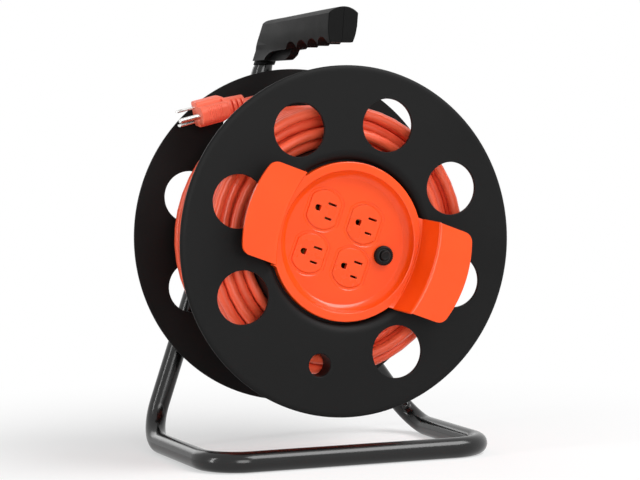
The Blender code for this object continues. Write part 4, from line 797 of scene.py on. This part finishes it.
def groundOutline(u, grown):
    radius = outlet["ground"] + grown
    soft = outlet["groundRound"]
    square = [(u, -radius, 0), (u + radius, -radius, soft), (u + radius, radius, soft), (u, radius, 0)]
    return arc(u, 0, radius, 90, 270, 12) + softened(square)[1:-1]


def makeOutlet(number, centre):
    form = outlet
    top = form["proud"] - panel["depth"]
    low = -panel["depth"] - panel["wall"] - form["behind"]
    rows = [(inset, top - below) for inset, below in form["edge"]] + [(0, low)]
    bm = stackOf([(outletOutline(inset), z) for inset, z in rows])
    u = form["groundOffset"] / 2
    half = form["bladeSpacing"] / 2
    flare = ((form["flare"], top + form["flareHigh"]), (0, top - form["flareLow"]), (0, low - 1))
    tools = []
    for shape in (
        lambda g: slotOutline(u, half, form["longSlot"], g),
        lambda g: slotOutline(u, -half, form["shortSlot"], g),
        lambda g: groundOutline(-u, g),
    ):
        tools.append(stackOf([(shape(g), z) for g, z in flare]))
    bm = carved(bm, tools)
    bmesh.ops.translate(bm, vec=(*centre, 0), verts=bm.verts)
    toPiece(bm, f"outletFace{number}", "outletOrange", "drum", [f"outlet_{number}"], panelPlace)


def makeBreaker():
    form = breaker
    base = form["collarLift"] - panel["depth"]
    high = form["collarHigh"] - panel["depth"]
    outline = []
    for k in range(form["knurls"]):
        for shift, deep in form["knurl"]:
            angle = tau * (k + shift) / form["knurls"]
            outline.append(((form["collar"] - deep) * cos(angle), (form["collar"] - deep) * sin(angle)))
    crown = [(x * form["crown"], y * form["crown"]) for x, y in outline]
    bm = bmesh.new()
    loft(bm, [lifted(outline, base), lifted(outline, high - 1.2), lifted(crown, high - 0.6)], True)
    face = [(radius, high - below, soft) for radius, below, soft in form["face"]] + [(form["bore"], base, 0)]
    spun(bm, softened(face), len(outline))
    rims = [e for e in bm.edges if e.is_boundary and min(v.co.z for v in e.verts) > high - 0.9]
    bmesh.ops.bridge_loops(bm, edges=rims)
    cap(bm, base)
    bmesh.ops.translate(bm, vec=(form["along"], 0, 0), verts=bm.verts)
    toPiece(bm, "breakerCollarRing", "resetBlack", "drum", ["breaker_collar"], panelPlace, 30)
    top = high + form["proud"]
    foot = high - form["stem"]
    button = [(radius, top - below, soft) for radius, below, soft in form["button"]]
    bm = lathe(softened(button + [(form["buttonRadius"], foot, 0.3), (0, foot, 0)]), form["steps"])
    bmesh.ops.translate(bm, vec=(form["along"], 0, 0), verts=bm.verts)
    toPiece(bm, "resetButtonCap", "resetBlack", "button", ["reset_button"], panelPlace)


makePanel()
for number, centre in enumerate(outletPlaces, 1):
    makeOutlet(number, centre)
makeBreaker()
print("socket panel made")


# Stand: one bent tube, the right leg, its bolt and the axle's rear end
stand = dict(
    tube=9, baseLeft=128, frontLeft=122, baseRight=133.6, baseBend=34,
    handleBend=22, legY=88.55, barY=-78.45, gripX=-3.5, gripHeight=374.7,
    inGrip=150, tenon=6.8, swageTop=23, swageEnd=36, jointPast=8, jointGap=0.3, legGap=4,
)
bolt = dict(
    at=28,
    dome=(
        (0, 13, 0), (2.6, 12.6, 1.2), (4.2, 11, 0.8), (4.2, 9.6, 0.2), (2.4, 9.6, 0), (2.4, -13.8, 0.4), (0, -13.8, 0)
    ),
    key=1.7, keyDeep=4,
    nut=(4.44, 2.5, -12.8, -9.3),  # half across corners, bore, low and high end
    steps=40,
)
axle = dict(
    rod=(
        (0, -57.2, 0), (4.2, -57.2, 0.5), (5, -58.2, 0), (5, -67.7, 0),
        (7, -67.7, 0.3), (7, -161.6, 0.3), (4, -161.6, 0), (4, -180.2, 0),
    ),
    threadFrom=-180.3, threadTo=-187.9, threadPitch=0.8,
    thread=((3.6, 0), (4, 0.35), (4, 0.5)), end=((3.3, -188.7), (0, -188.7)), nut=(7.4, 4.1, -186.2, -180.2),
    washer=((7.3, -159.6, 0.2), (12, -159.6, 0.5), (12, -161.6, 0.5), (7.3, -161.6, 0.2)), washerSteps=48,
)
nutShape = dict(bevel=0.7, flat=0.2, slack=0.1, steps=48, boreSteps=32)
leftFoot = Vector((-stand["baseLeft"], stand["legY"], stand["tube"]))
rightFoot = Vector((stand["baseRight"], stand["legY"], stand["tube"]))
gripCorner = Vector((stand["gripX"], stand["legY"], stand["gripHeight"]))
axlePoint = Vector((0, stand["legY"], reel["axleHeight"]))
leftLeg = (gripCorner - leftFoot).normalized()
rightLeg = (axlePoint - rightFoot).normalized()
joint = rightFoot + rightLeg * (stand["baseBend"] + stand["jointPast"])


def makeStand():
    tube = stand["tube"]
    bend = stand["baseBend"]
    inside = gripCorner + Vector((0, -stand["inGrip"], 0))
    neck = gripCorner - leftLeg * stand["swageTop"]
    run = bentRun([(inside, 0), (gripCorner, stand["handleBend"]), (neck, 0)])
    narrow = [stand["tenon"] / tube] * len(run)
    front = [(x, stand["barY"], tube) for x in (-stand["frontLeft"], stand["baseRight"])]
    bends = [(corner, bend) for corner in (leftFoot, *front, rightFoot)]
    run += bentRun([(gripCorner - leftLeg * stand["swageEnd"], 0), *bends, (joint, 0)])
    bar = roundBar(run, tube, shares=narrow)
    toPiece(bar, "standTubeBent", "tubeEnamel", "stand", ["stand_tube"], toMetres)
    lean = leftLeg.x / leftLeg.z
    across = (reel["axleHeight"] - tube) * lean - stand["baseLeft"]
    meeting = axlePoint + rightLeg * across / (rightLeg.x - rightLeg.z * lean)
    leg = roundBar([joint + rightLeg * stand["jointGap"], meeting - rightLeg * stand["legGap"]], tube)
    toPiece(leg, "rightLegTube", "tubeEnamel", "stand", ["right_leg"], toMetres)


def hexNut(across, bore, low, high):
    form = nutShape
    block = postOf(across, high - low, (0, 0, (low + high) / 2), 6)
    flat = across * cos(pi / 6) + form["flat"]
    slack = form["slack"]
    wide = across + slack
    profile = [(0, low - slack), (flat, low - slack), (wide, low + form["bevel"])]
    profile += [(wide, high - form["bevel"]), (flat, high + slack), (0, high + slack)]
    block = carved(block, [lathe(profile, form["steps"])], "INTERSECT")
    hole = [(0, low - 1), (bore, low - 1), (bore, high + 1), (0, high + 1)]
    return carved(block, [lathe(hole, form["boreSteps"])])


def makeBolts():
    bend = stand["baseBend"]
    forward = Vector((0, -1, 0))
    middle = rightFoot + (rightLeg + forward) * bend
    angle = radians(bolt["at"])
    place = middle - (forward * cos(angle) + rightLeg * sin(angle)) * bend
    axes = (middle - place).normalized().to_track_quat("Z", "Y").to_matrix().to_4x4()
    boltPlace = toMetres @ Matrix.Translation(place) @ axes
    dome = lathe(softened(bolt["dome"]), bolt["steps"])
    dome = carved(dome, [postOf(bolt["key"], bolt["keyDeep"], (0, 0, bolt["dome"][0][1]), 6)])
    toPiece(dome, "legBoltDome", "tubeEnamel", "stand", ["leg_bolt"], boltPlace)
    threads = []
    depth = axle["threadFrom"]
    while depth > axle["threadTo"]:
        threads += [(radius, depth - below) for radius, below in axle["thread"]]
        depth -= axle["threadPitch"]
    rod = lathe(softened(axle["rod"])[:-1] + threads + list(axle["end"]), bolt["steps"])
    washer = lathe(softened(axle["washer"], True), axle["washerSteps"], closed=True)
    for bm, name, node, place in (
        (hexNut(*bolt["nut"]), "legBoltHexNut", "leg_bolt_nut", boltPlace),
        (rod, "axleRod", "axle", drumPlace),
        (hexNut(*axle["nut"]), "axleTailNut", "axle_rear_nut", drumPlace),
        (washer, "axleTailWasher", "rear_washer", drumPlace),
    ):
        toPiece(bm, name, "zincScrew", "stand", [node], place)


makeStand()
makeBolts()
print("stand made")


# Grip: x runs forward from the legs, y up and z to the left
grip = dict(
    reach=170, half=13.4, top=16.6, arch=5.6, rise=3, bottom=16.8,
    bottomRise=3.4, endRound=1.4, rear=11.5, rearRound=13.5, rearCorner=7,
    flank=((13.4, 0), (12.7, -6), (11.6, -10.8), (9.9, -15.2), (9.9, -49)),
    neckDrop=24.5, neckFront=24, neckSweep=20, collar=9.8, collarHigh=4,
    collarRound=0.8, rollFirst=80, rollPitch=24, rollRadius=14.5, rollCut=5.5,
    rollCount=4, frontLean=0.09, leanStart=28, leanEnd=130, leanStep=17,
    webHalf=4, webRoot=22, webReach=75, webDrop=25.5, webInside=6, webRound=0.8, seam=0.15,
    screws=(("grip_screw_front", 164, 0, 13.4), ("grip_screw_rear", 18, -17, 9.9)),
    screw=(1.6, 3, 2),  # shank, head, head's height
    screwSunk=3, screwGrip=5, sink=3.6, sinkEnd=3.3, sinkDeep=20,
)
gripAxes = Matrix(((0, 0, -1), (-1, 0, 0), (0, 1, 0))).to_4x4()
gripPlace = toMetres @ Matrix.Translation(gripCorner) @ gripAxes


def gripLean(along):
    share = (along - grip["leanStart"]) / (grip["leanEnd"] - grip["leanStart"])
    rear = leftLeg.x / leftLeg.z
    return rear + (grip["frontLean"] - rear) * min(1.0, max(0.0, share))


def gripSide():
    beyond = grip["reach"] + grip["half"]
    above = grip["top"] + 1
    corner = grip["rearCorner"]
    sweep = grip["neckSweep"]
    back = -grip["rear"] - 0.3  # the plan gives the rear end
    outline = [(back, -grip["neckDrop"])]
    squash = (grip["neckDrop"] - grip["bottom"]) / sweep
    outline += arc(grip["neckFront"] + sweep, -grip["neckDrop"], sweep, 180, 90, 16, squash)
    outline += [(beyond, grip["bottomRise"] - grip["bottom"]), (beyond, above), (corner, above)]
    outline += arc(back + corner, grip["top"] - grip["rise"] - corner, corner, 90, 180, 12)
    return plateOf(outline, -grip["half"] - 1, grip["half"] + 1)


def gripSection():
    reach, rear = grip["reach"], grip["rear"]
    radius = (grip["half"] ** 2 + grip["arch"] ** 2) / (2 * grip["arch"])
    spread = degrees(asin(grip["half"] / radius))
    outline = arc(0, grip["top"] - grip["rise"] - radius, radius, 90 + spread, 90 - spread, 24) + list(grip["flank"])
    outline += [(-x, y) for x, y in reversed(grip["flank"])]
    section = plateOf(outline, -rear - 1, reach)
    rotateForm(section, pi / 2, "Y")
    for vert in section.verts:
        if vert.co.y > 0:
            vert.co.y += grip["rise"] * (vert.co.x + rear) / (reach + rear)
    roundEdges(section, grip["endRound"], 4, 50, lambda e: min(v.co.x for v in e.verts) > reach - 0.01)
    return section


def gripPlan():
    deep = grip["rearRound"]
    wide = grip["half"] + 0.05
    outline = arc(deep - grip["rear"], 0, deep, 90, 270, 32, wide / deep)
    outline += [(grip["reach"] + 1, -wide), (grip["reach"] + 1, wide)]
    plan = plateOf(outline, -2 * grip["neckDrop"], 2 * grip["neckDrop"])
    rotateForm(plan, pi / 2, "X")
    return plan


def gripWeb():
    inside = grip["webInside"] - grip["bottom"]
    slope = grip["webReach"] - 2 * (grip["webDrop"] - grip["bottom"])
    outline = [(grip["webRoot"], inside), (grip["webRoot"], -grip["webDrop"]), (slope, -grip["webDrop"])]
    outline += [(grip["webReach"], -grip["bottom"]), (grip["webReach"], inside)]
    web = plateOf(outline, -grip["webHalf"], grip["webHalf"])
    roundEdges(web, grip["webRound"], 2, 60, lambda e: max(v.co.y for v in e.verts) < -grip["bottom"])
    return web


def gripForm():
    # where the side view, the section and the plan meet, with the web, the collar and the finger scallops
    body = carved(gripSide(), [gripSection(), gripPlan()], "INTERSECT")
    low = grip["neckDrop"] - 1
    high = grip["neckDrop"] + grip["collarHigh"]
    collar = [(0, low, 0), (grip["collar"], low, 0), (grip["collar"], high, grip["collarRound"]), (0, high, 0)]
    ring = lathe(softened(collar), 48)
    rotateForm(ring, pi / 2, "X")
    rise = grip["bottomRise"] / (grip["reach"] + grip["half"])
    under = -grip["bottom"] - grip["rollRadius"] + grip["rollCut"]
    rolls = []
    for k in range(grip["rollCount"]):
        along = grip["rollFirst"] + grip["rollPitch"] * k
        rolls.append(postOf(grip["rollRadius"], 4 * grip["half"], (along, under + rise * along, 0), 96))
    return carved(carved(body, [gripWeb(), ring], "UNION"), rolls)


def bisect(bm, place, normal, halve=False):
    geom = list(bm.verts) + list(bm.edges) + list(bm.faces)
    bmesh.ops.bisect_plane(bm, geom=geom, dist=levelSlack, plane_co=place, plane_no=normal, clear_inner=halve)


def screwSeat(along, up, deep):
    return grip["screwSunk"] - gripLean(along) * up - deep


def makeGrip():
    blank = gripForm()
    clean(blank)
    bisect(blank, (0, 0, grip["seam"]), (0, 0, 1), True)
    bmesh.ops.holes_fill(blank, edges=[e for e in blank.edges if e.is_boundary], sides=0)
    clean(blank)
    for along in range(grip["leanStart"], grip["leanEnd"] + 1, grip["leanStep"]):
        bisect(blank, (along, 0, 0), (1, 0, 0))
    bmesh.ops.triangulate(blank, faces=blank.faces)
    template = meshOf(blank, "gripTemplate")
    for label, side in (("Left", 1), ("Right", -1)):
        half = bmesh.new()
        half.from_mesh(template)
        for vert in half.verts:
            vert.co.z = side * vert.co.z - gripLean(vert.co.x) * vert.co.y
        if side < 0:
            bmesh.ops.reverse_faces(half, faces=half.faces)
            sinks = []
            for node, along, up, deep in grip["screws"]:
                middle = (along, up, screwSeat(along, up, deep) - grip["sinkDeep"] / 2)
                sinks.append(postOf(grip["sink"], grip["sinkDeep"], middle, 40, grip["sinkEnd"]))
            half = carved(half, sinks)
        node = f"grip_{label.lower()}"
        toPiece(half, f"gripHalf{label}", "gripBlack", "stand", [node], gripPlace, 28)
    bpy.data.meshes.remove(template)
    for node, along, up, deep in grip["screws"]:
        seat = Matrix.Translation((along, up, screwSeat(along, up, deep) - screwShape["gap"]))
        panScrew(node, *grip["screw"], deep + grip["screwGrip"], gripPlace @ seat, "stand")


# Pan head screws with a cross, drawn in shares of the head
screwShape = dict(
    gap=0.3, top=0.55, side=0.45, crossReach=0.6, crossHalf=0.13, crossLow=0.35, crossTurn=0.4, steps=32,
)
rearScrew = dict(count=4, circle=72.5, first=45, size=(1.8, 3.6, 2.2, 26))


def panScrew(node, shank, head, high, length, place, body):
    form = screwShape
    profile = [(0, high, 0), (form["top"] * head, high, 0.5 * high), (head, form["side"] * high, 0.4 * high)]
    profile += [(head, 0, 0.1), (shank, 0, 0), (shank, -length, 0.4), (0, -length, 0)]
    bm = lathe(softened(profile), form["steps"])
    far = Vector((form["crossReach"] * head, form["crossHalf"] * head, 2 * high))
    near = Vector((-far.x, -far.y, form["crossLow"] * high))
    cross = []
    for turn in (0, pi / 2):
        bar = boxOf(near, far)
        rotateForm(bar, turn + form["crossTurn"], "Z")
        cross.append(bar)
    words = node.split("_")
    name = words[0] + "".join(word.capitalize() for word in words[1:]) + "Head"
    turned = place @ Matrix.Rotation(pi, 4, "X")
    toPiece(carved(bm, cross), name, "zincScrew", body, [node], turned)


def makeRearScrews():
    depth = -flange["width"] - flange["thick"] - screwShape["gap"]
    for k in range(rearScrew["count"]):
        x, y = clock(rearScrew["circle"], rearScrew["first"] + 360 / rearScrew["count"] * k)
        panScrew(f"rear_screw_{k + 1}", *rearScrew["size"], drumPlace @ Matrix.Translation((x, y, depth)), "drum")


makeGrip()
makeRearScrews()
print("grip and screws made")


# Plug: x up, y to the back, z towards the pins
plug = dict(
    relief=16.5, reliefStart=0.3, reliefEnd=8.2, reliefRoot=9.2, reliefFoot=10.3,
    slots=3, slotFirst=3.4, slotPitch=4.4, slot=1.9, slotReach=20, core=5,
    neck=3.5, body=24, halfTall=11.3, halfWide=13.2, round=2.8, lobe=7.8, lobeRound=5.2, step=-2, roll=8,
    shoulder=((0.72, -3.2), (0.8, -2.9), (0.88, -2.1), (0.945, -0.8), (0.985, 0.8), (1, 2.4)),  # size, height
    faceEdge=((0, -1), (0.1, -0.5), (0.35, -0.15), (0.9, 0)),  # inset, height
    ridges=9, ridgePitch=1.6, ridgeDeep=0.5, ridgeEnd=5,
    ridge=((0, 0), (0.2, 0.6), (0.35, 1), (0.6, 1), (0.75, 0.6), (0.9, 0)),  # share of the pitch, of the depth
    ridgeFrom=3.4, ridgeFade=2, pinRoot=6, blade=17.6, bladeWide=6.3,
    bladeThick=1.5, bladeRound=1.6, bladeEdge=0.3, bladeHole=1.6, holeBack=4.5,
    pin=2.4, pinLength=20, pinRound=1.7,
)


def plugAxes():
    ahead = plugHeading()
    up = Vector((ahead.y, -ahead.x, 0))
    axes = Matrix((up, Vector((0, 0, -1)), ahead)).transposed().to_4x4()
    rolled = Matrix.Rotation(radians(-plug["roll"]), 4, ahead)
    return drumPlace @ Matrix.Translation(cord["end"]) @ rolled @ axes


def plugOutline(size=1.0, inset=0.0, groove=0.0):
    # seen from the face, x up and y to the back: full height round the blades, a narrower lobe round the pin
    turn = plug["round"]
    tall = plug["halfTall"] - turn
    wide = plug["halfWide"] - turn
    bow = plug["lobeRound"]
    lobe = plug["lobe"] - bow
    low = bow - plug["halfWide"]
    step = plug["step"] + turn
    shoulder = plug["step"] - 1
    points = arc(tall, wide, turn, 0, 90, 6) + arc(-tall, wide, turn, 90, 180, 6)
    points += arc(-tall, step, turn, 180, 270, 6) + [(-plug["lobe"], shoulder)]
    points += arc(-lobe, low, bow, 180, 270, 10) + arc(lobe, low, bow, 270, 360, 10)
    points += [(plug["lobe"], shoulder)] + arc(tall, step, turn, 270, 360, 6)
    made = []
    for x, y in points:
        deep = inset + groove * ease((-y - plug["ridgeFrom"]) / plug["ridgeFade"])  # ridges run round the lobe
        share = size - deep / hypot(x, y)
        made.append((x * share, y * share))
    return made


def reliefOf(rear):
    profile = [(0, plug["reliefStart"], 0), (plug["reliefEnd"], plug["reliefStart"], 1)]
    profile += [(plug["reliefRoot"], plug["relief"], 2), (plug["reliefFoot"], rear + 1, 0), (0, rear + 1, 0)]
    reach = plug["slotReach"]
    slots = []
    for k in range(plug["slots"]):
        low = plug["slotFirst"] + plug["slotPitch"] * k
        for side in (-1, 1):
            near, far = sorted((side * plug["core"], side * reach))
            slots.append(boxOf((-reach, near, low), (reach, far, low + plug["slot"])))
    bm = carved(lathe(softened(profile), 48), slots)
    clean(bm)
    return bm


def bladeOf(x, face):
    back = outlet["groundOffset"] / 2
    wide = plug["bladeWide"] / 2
    thick = plug["bladeThick"] / 2
    root = face - plug["pinRoot"]
    tip = face + plug["blade"]
    soft = plug["bladeRound"]
    corners = [(back - wide, root, 0), (back + wide, root, 0), (back + wide, tip, soft), (back - wide, tip, soft)]
    blade = plateOf(softened(corners, True, 5), x - thick, x + thick)

    def outside(edge):
        near, far = (v.co for v in edge.verts)
        return max(near.y, far.y) > root + 1 and abs(near.z - far.z) < 0.1

    roundEdges(blade, plug["bladeEdge"], 2, 60, outside)
    blade = carved(blade, [postOf(plug["bladeHole"], 8, (back, tip - plug["holeBack"], x), 24)])
    turned = Matrix(((0, 0, 1, 0), (1, 0, 0, 0), (0, 1, 0, 0), (0, 0, 0, 1)))
    bmesh.ops.transform(blade, matrix=turned, verts=blade.verts)
    return blade


def pinOf(face):
    radius = plug["pin"]
    root = face - plug["pinRoot"]
    tip = face + plug["pinLength"]
    profile = [(0, root, 0), (radius, root, 0.2), (radius, tip, plug["pinRound"]), (0, tip, 0)]
    bm = lathe(softened(profile, steps=6), 36)
    bm = carved(bm, [boxOf((1.6, -0.4, face + 3), (4, 0.4, tip + 4))])  # the seam of a rolled pin
    bmesh.ops.translate(bm, vec=(0, -outlet["groundOffset"] / 2, 0), verts=bm.verts)
    return bm


def makePlug():
    place = plugAxes()
    rear = plug["relief"] + plug["neck"]
    face = rear + plug["body"]
    pitch = plug["ridgePitch"]
    end = face - plug["ridgeEnd"]
    start = end - plug["ridges"] * pitch
    rows = [(plugOutline(size), rear + up) for size, up in plug["shoulder"]]
    for k in range(plug["ridges"]):
        for shift, deep in plug["ridge"]:
            rows.append((plugOutline(groove=deep * plug["ridgeDeep"]), start + (k + shift) * pitch))
    rows.append((plugOutline(), end))
    rows += [(plugOutline(inset=inset), face + up) for inset, up in plug["faceEdge"]]
    body = stackOf(rows)
    joinInto(body, reliefOf(rear))
    pieces = [toPiece(body, "plugMoulding", "plugCoral", "drum", ["plug_body"], place)]
    half = outlet["bladeSpacing"] / 2
    for name, node, pin in (
        ("plugNeutralBlade", "plug_neutral_blade", bladeOf(half, face)),
        ("plugHotBlade", "plug_hot_blade", bladeOf(-half, face)),
        ("plugGroundPin", "plug_ground_pin", pinOf(face)),
    ):
        pieces.append(toPiece(pin, name, "nickelBlade", "drum", [node], place))
    return pieces


plugPieces = makePlug()
print("plug made")


# Pieces of the frame that stay as they are, mostly inside the drum
for finishName, names in (
    ("zincScrew", ["axle_front_nut", "front_washer", "box_screw"] + [f"panel_screw_{k}" for k in range(1, 5)]),
    ("bushNylon", ["hub_bush_front", "hub_bush_rear", "cord_gland"]),
    ("boxBlack", ["terminal_box", "breaker_body", "cord_grommet"]),
    ("stripBrass", ["neutral_strip", "hot_strip", "ground_strip"]),
    ("leadWhite", ["neutral_lead"]),
    ("leadBlack", ["hot_lead"]),
    ("leadGreen", ["ground_lead"]),
    ("cordCoral", ["cord_inner_lead"]),
):
    for name in names:
        for holder in nodes[name].material_slots:
            holder.material = finish[finishName]
